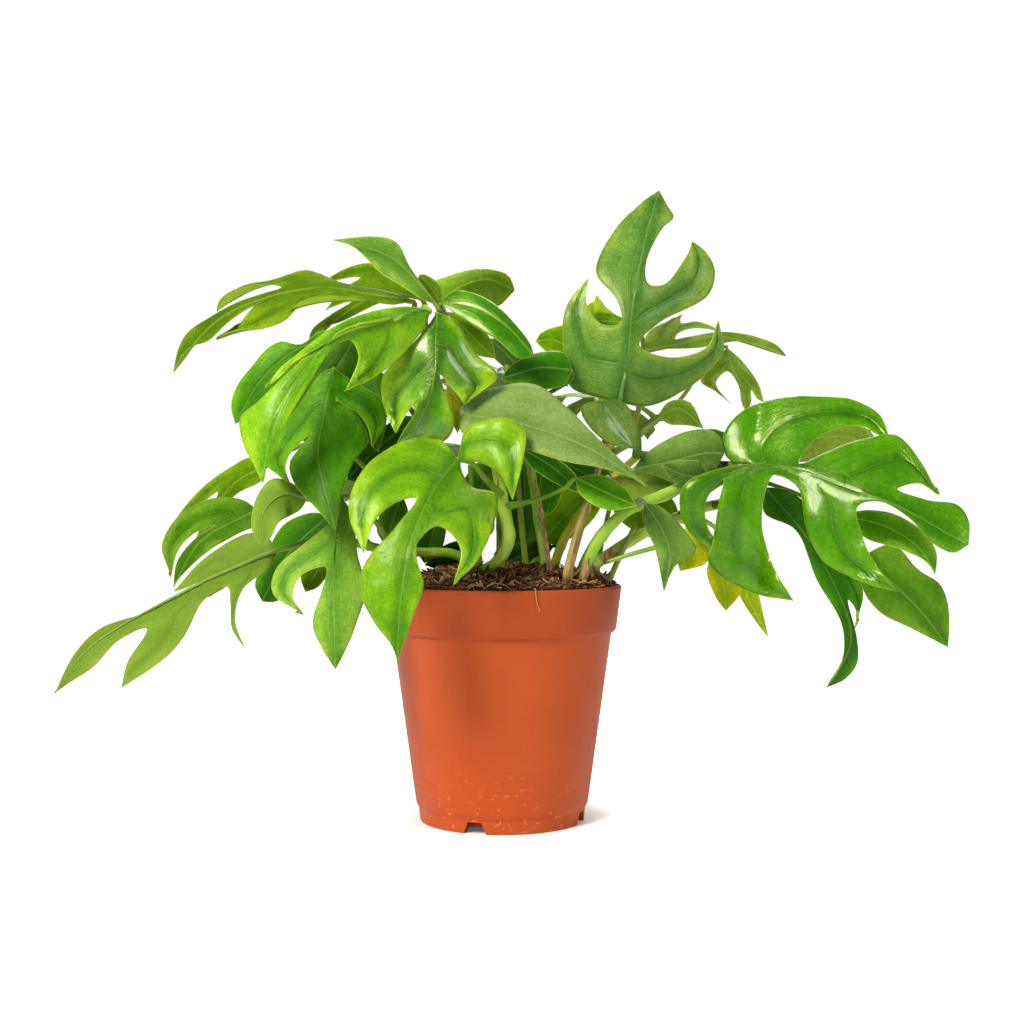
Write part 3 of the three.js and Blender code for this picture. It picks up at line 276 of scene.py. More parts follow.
def slot_cutter():
    """Four wedges, one for each drain slot, wider at the ground than at the top."""
    angle = SLOT_FIRST_ANGLE + np.arange(SLOTS) * 2 * np.pi / SLOTS
    out = BODY_FOOT_RADIUS + np.tile([-SLOT_DEPTH, SLOT_DEPTH], 4)
    low_half, high_half = SLOT_WIDTH / 2 + SLOT_FLARE, SLOT_WIDTH / 2
    across = np.repeat([-low_half, low_half, -high_half, high_half], 2)
    height = np.repeat([SLOT_BOTTOM, SLOT_TOP], 4)
    ahead = np.stack([np.cos(angle), np.sin(angle)], -1)[:, None]
    aside = np.stack([-np.sin(angle), np.cos(angle)], -1)[:, None]
    flat = ahead * out[None, :, None] + aside * across[None, :, None]
    points = np.concatenate([flat, np.tile(height[None, :, None], (SLOTS, 1, 1))], -1).reshape(-1, 3)
    wedge = np.array([[0, 2, 1], [1, 2, 3], [4, 5, 6], [5, 7, 6], [0, 1, 4], [1, 5, 4],
                      [2, 6, 3], [3, 6, 7], [0, 4, 2], [2, 4, 6], [1, 3, 5], [3, 7, 5]])
    return points, (wedge[None] + np.arange(SLOTS)[:, None, None] * 8).reshape(-1, 3)


def satin_polypropylene():
    """Terracotta-coloured polypropylene, moulded: a warm satin skin with soft clouding, faint
    rings on the band, pale scuffs and dust near the foot and dark specks of mix."""
    material, add = bare_material("polypropylene_terracotta_satin")
    place = add("TexCoord", out="Object")
    height = add("SeparateXYZ", place, out="Z")
    cloud = add("TexNoise", place, Scale=22.0, Detail=4.0, Roughness=0.6)
    body = add("Mix", cloud, "#b24619", "#c35320", data_type="RGBA")
    band = add("Mix", cloud, "#a5401b", "#b34b21", data_type="RGBA")
    on_band = add("MapRange", height, 0.1165, 0.1185)
    tone = add("Mix", on_band, body, band, data_type="RGBA")
    # Dust and scuffs gather in the lowest 50 mm and along the foot step.
    low = add("MapRange", height, 0.055, 0.006, interpolation_type="SMOOTHSTEP")
    step = add("Math", height, FOOT_STEP_HEIGHT / 1000, operation="SUBTRACT")
    from_step = add("Math", step, operation="ABSOLUTE")
    at_step = add("MapRange", from_step, 0.004, 0.0, interpolation_type="SMOOTHSTEP")
    wear = add("Math", low, at_step, operation="ADD")
    scratch_place = add("Mapping", place, Scale=(260, 260, 420))
    scratch = add("TexNoise", scratch_place, Scale=1.0, Detail=3.0)
    scuff = add("MapRange", scratch, 0.62, 0.72)
    scuffed = add("Math", scuff, wear, operation="MULTIPLY", use_clamp=True)
    scuff_share = add("Math", scuffed, 0.55, operation="MULTIPLY")
    worn = add("Mix", scuff_share, tone, "#dc9a72", data_type="RGBA")
    speck_cell = add("TexVoronoi", place, Scale=110.0, out=None)
    speck_near = add("MapRange", speck_cell.outputs["Distance"], 0.09, 0.05)
    speck_rare = add("SeparateColor", speck_cell.outputs["Color"])
    speck_low = add("MapRange", height, 0.07, 0.0, 0.02, 0.3)
    speck_pick = add("Math", speck_rare, speck_low, operation="LESS_THAN")
    speck = add("Math", speck_near, speck_pick, operation="MULTIPLY")
    dirty = add("Mix", speck, worn, "#4a2413", data_type="RGBA")
    gloss_cloud = add("TexNoise", place, Scale=60.0, Detail=5.0)
    gloss = add("MapRange", gloss_cloud, 0.0, 1.0, 0.4, 0.54)
    rough = add("Math", gloss, scuff_share, operation="ADD")
    ring_place = add("Mapping", place, Scale=(4, 4, 700))
    rings = add("TexNoise", ring_place, Scale=1.0, Detail=2.0)
    grain = add("TexNoise", place, Scale=900.0, Detail=2.0)
    relief = add("Math", rings, grain, operation="ADD")
    bump = add("Bump", Height=relief, Strength=0.25, Distance=0.0002)
    surface = add("BsdfPrincipled", Base_Color=dirty, Roughness=rough, Normal=bump, IOR=1.49,
                  Specular_IOR_Level=0.35, Specular_Tint="#ffd9bc", Coat_Weight=0.06, Coat_Roughness=0.3)
    add("OutputMaterial", surface, out=None)
    return material


band_foot = POT_HEIGHT - BAND_HEIGHT
inner_foot = BODY_FOOT_RADIUS - POT_WALL
stand_from = FOOT_RADIUS - STAND_RING_WIDTH
pot_profile = rounded_profile([
    [0, 0, 0], [CENTRE_DISC_RADIUS, 0, 0.5], [CENTRE_DISC_RADIUS + 1, RECESS, 0.5],
    [stand_from, RECESS, 0.6], [stand_from, 0, 0.6], [FOOT_RADIUS, 0, 0.7],
    [FOOT_RADIUS + FOOT_FLARE, FOOT_STEP_HEIGHT, 0.5], [BODY_FOOT_RADIUS, SHOULDER_HEIGHT, 1.6],
    [BODY_TOP_RADIUS, band_foot - 1.5, 0.7], [BAND_FOOT_RADIUS - 1, band_foot - 0.75, 0.8],
    [BAND_FOOT_RADIUS, band_foot + 1, 0.9], [RIM_RADIUS, POT_HEIGHT - 1, 0.6],
    [RIM_RADIUS - 1, POT_HEIGHT, 0.5], [RIM_RADIUS - POT_WALL, POT_HEIGHT, 0.35],
    [BODY_TOP_RADIUS - POT_WALL, band_foot - 4, 2.0], [inner_foot, SHOULDER_HEIGHT, 1.5],
    [inner_foot - 3, FLOOR_TOP, 1.5], [0, FLOOR_TOP, 0],
])
pot_material = satin_polypropylene()
pot = add_piece("pot_shell", "pot", *turned(pot_profile, POT_SIDES), pot_material, replaced=["pot"])
cutter = make_object("drain_slot_cutter", *slot_cutter(), pot_material)
slots = pot.modifiers.new("drain_slots", "BOOLEAN")
slots.object = cutter
slots.solver = "EXACT"
bpy.context.view_layer.update()
cut_mesh = bpy.data.meshes.new_from_object(pot.evaluated_get(bpy.context.evaluated_depsgraph_get()))
pot.modifiers.clear()
pot.data = cut_mesh
bpy.data.objects.remove(cutter)
cut_mesh.set_sharp_from_angle(angle=CREASE_ANGLE)

# The potting mix: peat and coconut coir, dark brown and crumbly, filled level with the rim and
# heaped a little in the middle. Loose crumbs, tan chips of coir husk and long fibres lie on it.
MIX_BELOW_RIM = 1
MIX_HEAP = 10
MIX_GAP = 0.35
MIX_ABOVE_FLOOR = 3.4
MOUND_RINGS = 70
MOUND_SIDES = 220
CRUMBS = 2600
CHIPS = 1400
FIBRES = 460
CRUMB_ROOM, CHIP_ROOM, FIBRE_ROOM = 3.2, 5.5, 4
CRUMB_TILT, CHIP_TILT = 0.5, 0.42
LUMPS = [(34, 3, 2.2), (12, 4, 1.5), (5, 5, 0.8)]
draw = np.random.default_rng(11)


def ripple(points, wavelength, seed, waves=9):
    """A smooth uneven value from -1 to 1 at each point: the mean of sine waves of about one
    wavelength that run in scattered directions."""
    way = np.random.default_rng(seed)
    direction = unit(way.normal(size=(waves, 3))) * (2 * np.pi / wavelength)
    direction = direction * way.uniform(0.6, 1.5, (waves, 1))
    return np.sin(points @ direction.T + way.uniform(0, 2 * np.pi, waves)).mean(axis=1) * 1.8


def mound_height(x, y):
    """The mix's surface: level at the wall, raised in the middle by the square of how near it is,
    with LUMPS of a wavelength, a seed and a height laid over it, which die out at the wall."""
    share = np.hypot(x, y) / RIM_RADIUS
    flat = np.stack([x, y, np.zeros_like(x)], -1)
    lumps = sum(ripple(flat, wavelength, seed) * height for wavelength, seed, height in LUMPS)
    heap = MIX_HEAP * np.clip(1 - share ** 2, 0, 1)
    return POT_HEIGHT - MIX_BELOW_RIM + heap + lumps * np.clip(1.1 - share ** 4, 0, 1)


def mound():
    """A disc of rings whose height is the mound's, closed by a wall that follows the pot inside
    and a flat bottom."""
    wall = RIM_RADIUS - POT_WALL - MIX_GAP
    share = np.linspace(1, 0, MOUND_RINGS)[:-1] ** 0.8
    angle = np.arange(MOUND_SIDES) * 2 * np.pi / MOUND_SIDES
    x = (wall * share[:, None] * np.cos(angle)).ravel()
    y = (wall * share[:, None] * np.sin(angle)).ravel()
    top = np.stack([x, y, mound_height(x, y)], -1)
    bottom = FLOOR_TOP + MIX_ABOVE_FLOOR
    below = np.array([[inner_foot, bottom], [BODY_TOP_RADIUS - POT_WALL, band_foot - 4]])
    below[:, 0] -= MIX_GAP
    side = np.stack([below[:, :1] * np.cos(angle), below[:, :1] * np.sin(angle),
                     np.repeat(below[:, 1:], MOUND_SIDES, 1)], -1).reshape(-1, 3)
    peak = np.array([[0, 0, mound_height(np.zeros(1), np.zeros(1))[0]]])
    points = np.concatenate([side, top, [[0, 0, bottom]], peak])
    return points, closed_rings(len(below) + len(share), MOUND_SIDES)


def scattered(count, reach):
    """Random places on the mound, even over its area, as x, y and the surface's height."""
    radius = reach * np.sqrt(draw.uniform(0, 1, count))
    angle = draw.uniform(0, 2 * np.pi, count)
    x, y = radius * np.cos(angle), radius * np.sin(angle)
    return np.stack([x, y, mound_height(x, y)], -1)


def turned_at_random(count, tilt):
    """A random turn for each of count pieces, as three unit axes: any heading, and a small tilt."""
    heading = draw.uniform(0, 2 * np.pi, count)
    ahead = unit(np.stack([np.cos(heading), np.sin(heading), draw.normal(0, tilt, count)], -1))
    aside = unit(np.cross(ahead + draw.normal(0, tilt, (count, 3)), [0, 0, 1]))
    return ahead, aside, np.cross(aside, ahead)


def placed(shape, size, places, turns):
    """Copies of one closed shape, each stretched by its own three sizes, turned and placed."""
    ahead, aside, above = (turn[:, None] for turn in turns)
    local = shape[None] * size[:, None]
    return local[..., :1] * ahead + local[..., 1:2] * aside + local[..., 2:] * above + places[:, None]


def copies(points, faces):
    """One list of points and faces out of many copies of a shape, with a random shade for each."""
    count, each = points.shape[:2]
    shade = np.repeat(draw.uniform(0, 1, count), each)
    faces = faces[None] + np.arange(count)[:, None, None] * each
    return points.reshape(-1, 3), faces.reshape(-1, 3), shade


def lump():
    """A rough ball of 20 triangles: the twelve corners of an icosahedron."""
    g = (1 + 5 ** 0.5) / 2
    corners = np.array([[-1, g, 0], [1, g, 0], [-1, -g, 0], [1, -g, 0], [0, -1, g], [0, 1, g],
                        [0, -1, -g], [0, 1, -g], [g, 0, -1], [g, 0, 1], [-g, 0, -1], [-g, 0, 1]])
    faces = np.array([[0, 11, 5], [0, 5, 1], [0, 1, 7], [0, 7, 10], [0, 10, 11], [1, 5, 9], [5, 11, 4],
                      [11, 10, 2], [10, 7, 6], [7, 1, 8], [3, 9, 4], [3, 4, 2], [3, 2, 6], [3, 6, 8],
                      [3, 8, 9], [4, 9, 5], [2, 4, 11], [6, 2, 10], [8, 6, 7], [9, 8, 1]])
    return unit(corners), faces


def crumbs():
    """Lumps of 1 to 4 mm with uneven sides, half sunk in the mound."""
    shape, faces = lump()
    size = draw.gamma(4.0, 0.28, (CRUMBS, 1)) * draw.uniform(0.6, 1.3, (CRUMBS, 3)) + 0.3
    places = scattered(CRUMBS, RIM_RADIUS - CRUMB_ROOM)
    places[:, 2] += size[:, 2] * 0.3
    points = placed(shape, size, places, turned_at_random(CRUMBS, CRUMB_TILT))
    return copies(points + draw.normal(0, 0.16, points.shape), faces)


def chips():
    """Chips of husk: a slim eight-cornered bar, 3 to 12 mm long, thin and bent up at one end."""
    share = np.linspace(-1, 1, 5)
    ring = np.array([[-1, -1], [1, -1], [1, 1], [-1, 1]])
    taper = 1 - 0.6 * np.abs(share) ** 2
    shape = np.column_stack([np.repeat(share, 4), (taper[:, None, None] * ring).reshape(-1, 2)])
    ends = np.array([[0, 2, 1], [0, 3, 2], [16, 17, 18], [16, 18, 19]])
    faces = np.concatenate([grid_faces(5, 4, True), ends])
    half_length, half_width = draw.gamma(5, 0.6, CHIPS) + 1.4, draw.uniform(0.4, 1.6, CHIPS)
    size = np.stack([half_length, half_width, draw.uniform(0.15, 0.5, CHIPS)], -1)
    places = scattered(CHIPS, RIM_RADIUS - CHIP_ROOM)
    places[:, 2] += draw.uniform(0.2, 2.6, CHIPS)
    points = placed(shape, size, places, turned_at_random(CHIPS, CHIP_TILT))
    bend = draw.normal(0, 0.8, (CHIPS, 1)) * share.repeat(4)[None] ** 2
    points[..., 2] += bend
    return copies(points, faces)


def fibres():
    """Coir fibres: three-sided threads 8 to 26 mm long that arch between two points on the mound."""
    steps = 7
    start = scattered(FIBRES, RIM_RADIUS - FIBRE_ROOM)
    length = draw.uniform(8, 26, (FIBRES, 1))
    heading = draw.uniform(0, 2 * np.pi, FIBRES)
    ahead = np.stack([np.cos(heading), np.sin(heading)], -1)
    share = np.linspace(0, 1, steps)[None, :, None]
    sway = draw.normal(0, 0.22, (FIBRES, 1, 1)) * share ** 2
    aside = np.stack([-ahead[:, 1], ahead[:, 0]], -1)
    flat = start[:, None, :2] + (ahead[:, None] * share + aside[:, None] * sway) * length[:, None]
    inside = np.minimum(1, (RIM_RADIUS - 2.5) / np.maximum(np.linalg.norm(flat, axis=-1), 1))
    flat = flat * inside[..., None]
    ground = mound_height(flat[..., 0].ravel(), flat[..., 1].ravel()).reshape(FIBRES, steps)
    arch = draw.gamma(2, 0.9, (FIBRES, 1)) * np.sin(np.pi * share[..., 0])
    line = np.concatenate([flat, (ground + arch + 0.6)[..., None]], -1)
    angle = np.arange(3) * 2 * np.pi / 3
    thick = draw.uniform(0.14, 0.3, (FIBRES, 1, 1)) * (1 - 0.5 * share)
    across = np.concatenate([aside, np.zeros((FIBRES, 1))], -1)[:, None, None]
    ring = across * np.cos(angle)[:, None] + np.array([0, 0, 1.0]) * np.sin(angle)[:, None]
    points = (line[:, :, None] + ring * thick[..., None]).reshape(FIBRES, -1, 3)
    last = (steps - 1) * 3
    faces = np.concatenate([grid_faces(steps, 3, True), [[0, 2, 1], [last, last + 1, last + 2]]])
    return copies(points, faces)


def peaty_mix(name, dark, middle, pale, share_pale):
    """Peat and coir: dead matt, with dark damp hollows, mid-brown crumb and pale dry husk; each
    loose bit has a shade of its own."""
    material, add = bare_material(name)
    place = add("TexCoord", out="Object")
    own = add("Attribute", out="Fac", attribute_name="shade")
    coarse = add("TexNoise", place, Scale=180.0, Detail=4.0, Roughness=0.7)
    fine = add("TexNoise", place, Scale=900.0, Detail=4.0, Roughness=0.75)
    both = add("Math", coarse, own, operation="ADD")
    low = add("MapRange", both, 0.35, 1.1)
    high = add("MapRange", own, 1 - share_pale, 1.0)
    base = add("Mix", low, dark, middle, data_type="RGBA")
    dry = add("Mix", high, base, pale, data_type="RGBA")
    fleck = add("MapRange", fine, 0.35, 0.7, 0.55, 1.25)
    tone = add("HueSaturation", Value=fleck, Color=dry)
    bump = add("Bump", Height=fine, Strength=0.7, Distance=0.0008)
    surface = add("BsdfPrincipled", Base_Color=tone, Roughness=0.92, Normal=bump)
    add("OutputMaterial", surface, out=None)
    return material


points, faces = mound()
damp = peaty_mix("peat_damp_crumbly", "#0b0502", "#2b1508", "#54341a", 0.15)
hollows = np.clip(0.35 + 0.3 * ripple(points, 9, 8), 0, 0.7)
add_piece("mix_mound", "mix", points, faces, damp, values={"shade": hollows}, replaced=["soil"])
for name, (points, faces, shade), tissue in (
    ("mix_crumbs", crumbs(), peaty_mix("peat_crumb_dry", "#0d0502", "#3c1f0a", "#9a6428", 0.18)),
    ("mix_husk_chips", chips(), peaty_mix("coir_husk_torn", "#1d0d04", "#87501c", "#e2ba7a", 0.4)),
    ("mix_fibres", fibres(), peaty_mix("coir_fibre_dry", "#3a1d08", "#a06c2e", "#e4c286", 0.45)),
):
    add_piece(name, "mix", points, faces, tissue, values={"shade": shade})


# The vines: smooth round green stems that root in the mix and taper upwards. Each leaf springs
# from a node, where the stem is a little thicker and ringed by a pale scar; the oldest wood near
# the mix turns brown. Routes are the solids' own, as [x, z, depth] points sighted from the front.
VINE_TAPER = 0.3
ROOT_DEPTH = 24
VINE_SIDES = 20
VINE_STEP = 1.3
NODE_SWELL = 0.13
NODE_LENGTH = 3.2
NODE_SPACING = 28
NODE_ROOM = 12
FIRST_NODE = 9
GROOVE_DEPTH, GROOVE_ABOVE, GROOVE_LENGTH = 0.07, 1.6, 0.9
SCAR_ABOVE, SCAR_LENGTH = 1.4, 1.1
TIP_SHARE = 0.6
BARK_HEIGHTS, BARK_AGES = [-ROOT_DEPTH, 0, 14, 45], [1, 0.75, 0.35, 0.05]
SPAN_STEPS = 20
VINES = {vine["name"]: vine for vine in [
    dict(name="stem_front_left", look="pale", radius=4.2, route=[[-15, 150, -30], [-3, 161, -36],
         [4, 174, -36], [3, 187, -30], [0, 201, -24], [-3, 219, -14], [-9, 244, -8], [-19, 269, -4],
         [-28, 293, -2]]),
    dict(name="stem_centre", look="streaked", radius=3.3, route=[[28, 152, -24], [23, 187, -18],
         [18, 219, -10], [12, 244, 0], [6, 268, 10], [3, 285, 16]]),
    dict(name="stem_front_right", look="fresh", radius=4.2, route=[[47, 143, -36], [59, 172, -36],
         [77, 192, -32], [96, 201, -28], [118, 210, -22], [137, 217, -16]]),
    dict(name="stem_right", look="pale", radius=4, route=[[53, 153, -6], [71, 168, -6], [93, 181, -2],
         [118, 192, 4], [151, 202, 12]]),
    dict(name="stem_brown", look="woody", radius=2.6, route=[[40, 147, -46], [48, 181, -42], [55, 201, -36],
         [62, 224, -24], [67, 249, -10]]),
    dict(name="stem_crown", look="yellow", radius=3.3, route=[[32, 153, 16], [40, 177, 18], [58, 202, 18],
         [88, 230, 14]]),
    dict(name="stem_low_left", look="streaked", radius=3.5, route=[[-13, 150, -4], [-28, 165, -6],
         [-49, 167, -12], [-74, 169, -18], [-99, 174, -24], [-120, 174, -29]]),
    dict(name="stem_back_left", look="fresh", radius=3.5, route=[[-17, 151, 22], [-29, 187, 26],
         [-39, 219, 26], [-52, 254, 24], [-59, 291, 18], [-60, 304, 12]]),
    dict(name="stem_back_right", look="streaked", radius=3.3, route=[[18, 152, 34], [37, 187, 50],
         [55, 218, 62], [82, 237, 80]]),
    dict(name="stem_back", look="streaked", radius=3.3, route=[[-1, 152, 44], [-1, 187, 62], [-4, 225, 82],
         [-9, 260, 96]]),
]}
# Where leaf stalks spring from each vine, filled in as the leaves are made.
springs = {name: [] for name in VINES}


def sighted(flat):
    """Places [x, z, depth] points, read in the plane of the pot's axis, along their line of sight:
    x and the height above the eye grow by one plus depth over the eye's distance."""
    flat = np.asarray(flat, float)
    spread = 1 + flat[:, 2] / EYE_DISTANCE
    height = EYE_HEIGHT + (flat[:, 1] - EYE_HEIGHT) * spread
    return np.stack([flat[:, 0] * spread, flat[:, 2], height], -1)


def smooth(knots):
    """A dense line of SPAN_STEPS points a span through the knots. Each span is a cubic whose end
    slopes are those of a centripetal curve: knots stand apart by the root of their distance."""
    p = np.asarray(knots, float)
    p = np.vstack([2 * p[0] - p[1], p, 2 * p[-1] - p[-2]])
    gap = np.sqrt(np.maximum(np.linalg.norm(np.diff(p, axis=0), axis=1), 1e-6))[:, None]
    slope = np.diff(p, axis=0) / gap
    wide = (p[2:] - p[:-2]) / (gap[:-1] + gap[1:])
    at_knot = slope[:-1] - wide + slope[1:]
    start, end = p[1:-2, None], p[2:-1, None]
    leave = (at_knot[:-1] * gap[1:-1])[:, None]
    arrive = (at_knot[1:] * gap[1:-1])[:, None]
    t = (np.arange(SPAN_STEPS) / SPAN_STEPS)[None, :, None]
    rise = end - start
    line = (start + leave * t + (3 * rise - 2 * leave - arrive) * t ** 2
            + (leave + arrive - 2 * rise) * t ** 3)
    return np.vstack([line.reshape(-1, p.shape[1]), p[-2]])


def travelled(line):
    """The distance from a line's start to each of its points."""
    return np.concatenate([[0], np.cumsum(np.linalg.norm(np.diff(line, axis=0), axis=1))])


def stations(line, shares):
    """The points that lie the given shares of a line's length along it."""
    run = travelled(line)
    return np.stack([np.interp(np.asarray(shares) * run[-1], run, part) for part in line.T], -1)


def evenly(line, step):
    """A line's points again, at even steps of about the given length."""
    count = max(2, int(round(travelled(line)[-1] / step)) + 1)
    return stations(line, np.linspace(0, 1, count))


def tube(line, radii, sides):
    """Rings square to a line, joined and closed by a point at each end. The first direction
    across is square to the line and to the way in which the line is flattest."""
    ahead = unit(np.gradient(line, axis=0))
    flattest = np.linalg.svd(line - line.mean(axis=0), full_matrices=False)[2][-1]
    aside = unit(np.cross(ahead, flattest))
    above = np.cross(ahead, aside)
    angle = (np.arange(sides) * 2 * np.pi / sides)[None, :, None]
    ring = aside[:, None] * np.cos(angle) + above[:, None] * np.sin(angle)
    radii = np.broadcast_to(np.asarray(radii, float), (len(line),))
    points = np.vstack([(line[:, None] + ring * radii[:, None, None]).reshape(-1, 3), line[0], line[-1]])
    return points, closed_rings(len(line), sides)


def vine_line(vine):
    """A vine's centre line, from its end buried in the mix upwards."""
    route = sighted(vine["route"])
    return smooth(np.vstack([route[:1] - [0, 0, ROOT_DEPTH], route]))


def nearest_on(line, place):
    """Which point of a line lies nearest to a place."""
    return np.linalg.norm(line - place, axis=1).argmin()


def nodes_of(line, stalk_starts):
    """Where along a vine its nodes are: at each leaf stalk, and evenly spaced where it has none."""
    run = travelled(line)
    at_stalks = [run[nearest_on(line, place)] for place in stalk_starts]
    between = np.arange(ROOT_DEPTH + FIRST_NODE, run[-1], NODE_SPACING)
    clear = [place for place in between if all(abs(place - at) > NODE_ROOM for at in at_stalks)]
    return np.array(sorted(at_stalks + clear))


def vine_tissue(look, low, high, cork):
    """Living aroid stem: smooth and satin, a little paler above each node, with fine lengthwise
    grooves and brown corky streaks; the buried and oldest part is all brown."""
    material, add = bare_material("aroid_stem_satin_" + look)
    place = add("TexCoord", out="Object")
    age = add("Attribute", out="Fac", attribute_name="age")
    ring = add("Attribute", out="Fac", attribute_name="ring")
    ribs = add("UVMap", uv_map="round")
    cloud = add("TexNoise", place, Scale=55.0, Detail=4.0)
    groove_place = add("Mapping", ribs, Scale=(2.2, 0.05, 1))
    groove = add("TexNoise", groove_place, Scale=1.0, Detail=3.0, Roughness=0.65)
    green = add("Mix", cloud, low, high, data_type="RGBA")
    streak = add("MapRange", groove, 0.3, 0.7, 0.78, 1.15)
    lined = add("HueSaturation", Value=streak, Color=green)
    cork_place = add("Mapping", ribs, Scale=(0.42, 0.035, 1))
    cork_noise = add("TexNoise", cork_place, Scale=1.0, Detail=4.0)
    corky = add("MapRange", cork_noise, 0.66 - cork, 0.72 - cork)
    streaked = add("Mix", corky, lined, "#8a5a30", data_type="RGBA")
    ring_share = add("Math", ring, 0.22, operation="MULTIPLY")
    scar = add("Mix", ring_share, streaked, "#c2bd78", data_type="RGBA")
    patchy = add("Math", cloud, 0.5, operation="SUBTRACT")
    older = add("Math", patchy, age, operation="ADD")
    bark = add("MapRange", older, 0.42, 0.72, interpolation_type="SMOOTHSTEP")
    tone = add("Mix", bark, scar, "#6b4a28", data_type="RGBA")
    rough = add("MapRange", bark, 0.0, 1.0, 0.42, 0.8)
    bump = add("Bump", Height=groove, Strength=0.35, Distance=0.0005)
    surface = add("BsdfPrincipled", Base_Color=tone, Roughness=rough, Normal=bump, IOR=1.45)
    add("OutputMaterial", surface, out=None)
    return material


STEM_LOOKS = {
    # look: darker and lighter tissue, how much of it is corky
    "pale": ("#98c62a", "#c6e05a", 0.02),
    "fresh": ("#7bb01c", "#b2da46", 0.04),
    "yellow": ("#c8c208", "#e4de34", 0.0),
    "streaked": ("#5c9010", "#96c030", 0.1),
    "woody": ("#9c8438", "#c6b06a", 0.12),
}
STEM_TISSUES = {look: vine_tissue(look, *tones) for look, tones in STEM_LOOKS.items()}


def round_map(faces, rings, sides, radius, length):
    """For each corner of a tube's faces, the distance round it and along it in millimetres."""
    around = np.concatenate([np.tile(np.arange(sides) / sides, rings), [0.5, 0.5]]) * 2 * np.pi * radius
    along = np.concatenate([np.repeat(np.linspace(0, length, rings), sides), [0, length]])
    corner = np.stack([around[faces], along[faces]], -1)
    wraps = np.ptp(corner[..., 0], axis=1) > np.pi * radius
    corner[..., 0] += wraps[:, None] * (corner[..., 0] < np.pi * radius) * 2 * np.pi * radius
    return corner


def grow_vine(vine):
    """A vine's tube: the radius falls evenly to its tip, swells round each node, and dips in a
    thin groove just above it."""
    line = evenly(vine_line(vine), VINE_STEP)
    run = travelled(line)
    nodes = nodes_of(line, springs[vine["name"]])
    away = run[:, None] - nodes[None]
    swell = np.exp(-(away / NODE_LENGTH) ** 2).max(axis=1) * NODE_SWELL
    groove = np.exp(-((away - GROOVE_ABOVE) / GROOVE_LENGTH) ** 2).max(axis=1) * GROOVE_DEPTH
    radii = vine["radius"] * (1 - VINE_TAPER * run / run[-1]) * (1 + swell - groove)
    radii[-1] *= TIP_SHARE
    points, faces = tube(line, radii, VINE_SIDES)
    ring = np.exp(-((away - SCAR_ABOVE) / SCAR_LENGTH) ** 2).max(axis=1)
    age = np.interp(run - ROOT_DEPTH, BARK_HEIGHTS, BARK_AGES)
    values = {key: np.concatenate([np.repeat(value, VINE_SIDES), value[[0, -1]]])
              for key, value in (("ring", ring), ("age", age))}
    maps = {"round": round_map(faces, len(line), VINE_SIDES, vine["radius"], run[-1])}
    name = vine["name"].replace("stem", "vine")
    add_piece(name, "vine", points, faces, STEM_TISSUES[vine["look"]], maps, values,
              replaced=[vine["name"]])


# The leaves: each is one leathery blade with a sunken midrib, cut between its side veins into
# curved lobes, on a slim stalk that springs from a vine and thickens to a knee under the blade.
# Ribs are [x, z, depth] points sighted from the front, margins [x, z] with a third value where
# they bow in depth. Lean and curl, given where not usual, say how each half falls back.
BLADE_THICKNESS = 0.62
MARGIN_THICKNESS = 0.2
MARGIN_WIDTH = 3.5
INNER_ROWS = 9
ROW_STEP = 2.7
COLUMN_STEP = 3.0
LEAST_ROWS, LEAST_COLUMNS = 6, 4
ROOT_ROOM, COLUMN_ROOM = 0.006, 0.003
UNOPENED_SHARE = 0.02
UNTANGLE_ROUNDS = 14
UNTANGLE_STEPS = 24
THINNEST_CELL = 0.03
POINTS_PER_MM = 500
FAR = 99.0
# where the margins' walls and the stalks lie in the maps, clear of the veins
WALL_PLACE, STALK_PLACE = 40, 60
END_FROM_VEIN = 30
END_REACH = 0.6
GRAIN_SHIFTS = (37.0, 211.0)
PAIRING_STEPS = 33
EASE_STEPS = 3
RIB_VALLEY = 2.0
RIB_SPREAD = 5.0
RIB_OPENING, RIB_ROOM = 5, 9
VEIN_VALLEY = 1.7
VEIN_SPREAD = 4.6
MARGIN_FALL = 1.1
MARGIN_SPREAD = 4.5
WAVE_SPREAD = 8
# wavelength and height of each
SWELL, WAVE, PUCKER = (75, 1.8), (26, 1.2), (19, 0.35)
DISTANCE_BLOCK = 800
STALK_SIDES = 12
STALK_STEP = 2.4
STALK_RADIUS_LOW = 2.4
STALK_RADIUS_HIGH = 1.5
STALK_TAPERS_TO = 0.7
STALK_SCALING = 0.4
KNEE_PLACE, KNEE_LENGTH, KNEE_SWELL = 7, 4.5, 0.35
FOOT_LENGTH, FOOT_SWELL = 9, 0.9
RIB_SHARES, RIB_RADII = [0, 0.15, 1], [1.5, 1.15, 0.3]
RIB_GAP = 0.1
FULL_LENGTH = 130
SLIMMEST = 0.55
USUAL_LEAN = [0.3, 0.3]
USUAL_CURL = [0.2, 0.2]


def lobe(root, out, tip=None, back=(), sinus=None):
    """A lobe of a half blade: the share of the rib that its far sinus points at, the margin out to
    its tip, the tip, the margin back, and the sinus. A half's last lobe ends at the rib's end."""
    return dict(root=root, out=out, tip=tip, back=back, sinus=sinus)


def uncut(left, right):
    """The halves of a blade that shows no cuts: one plain margin each."""
    return dict(left=[lobe(1, left)], right=[lobe(1, right)])


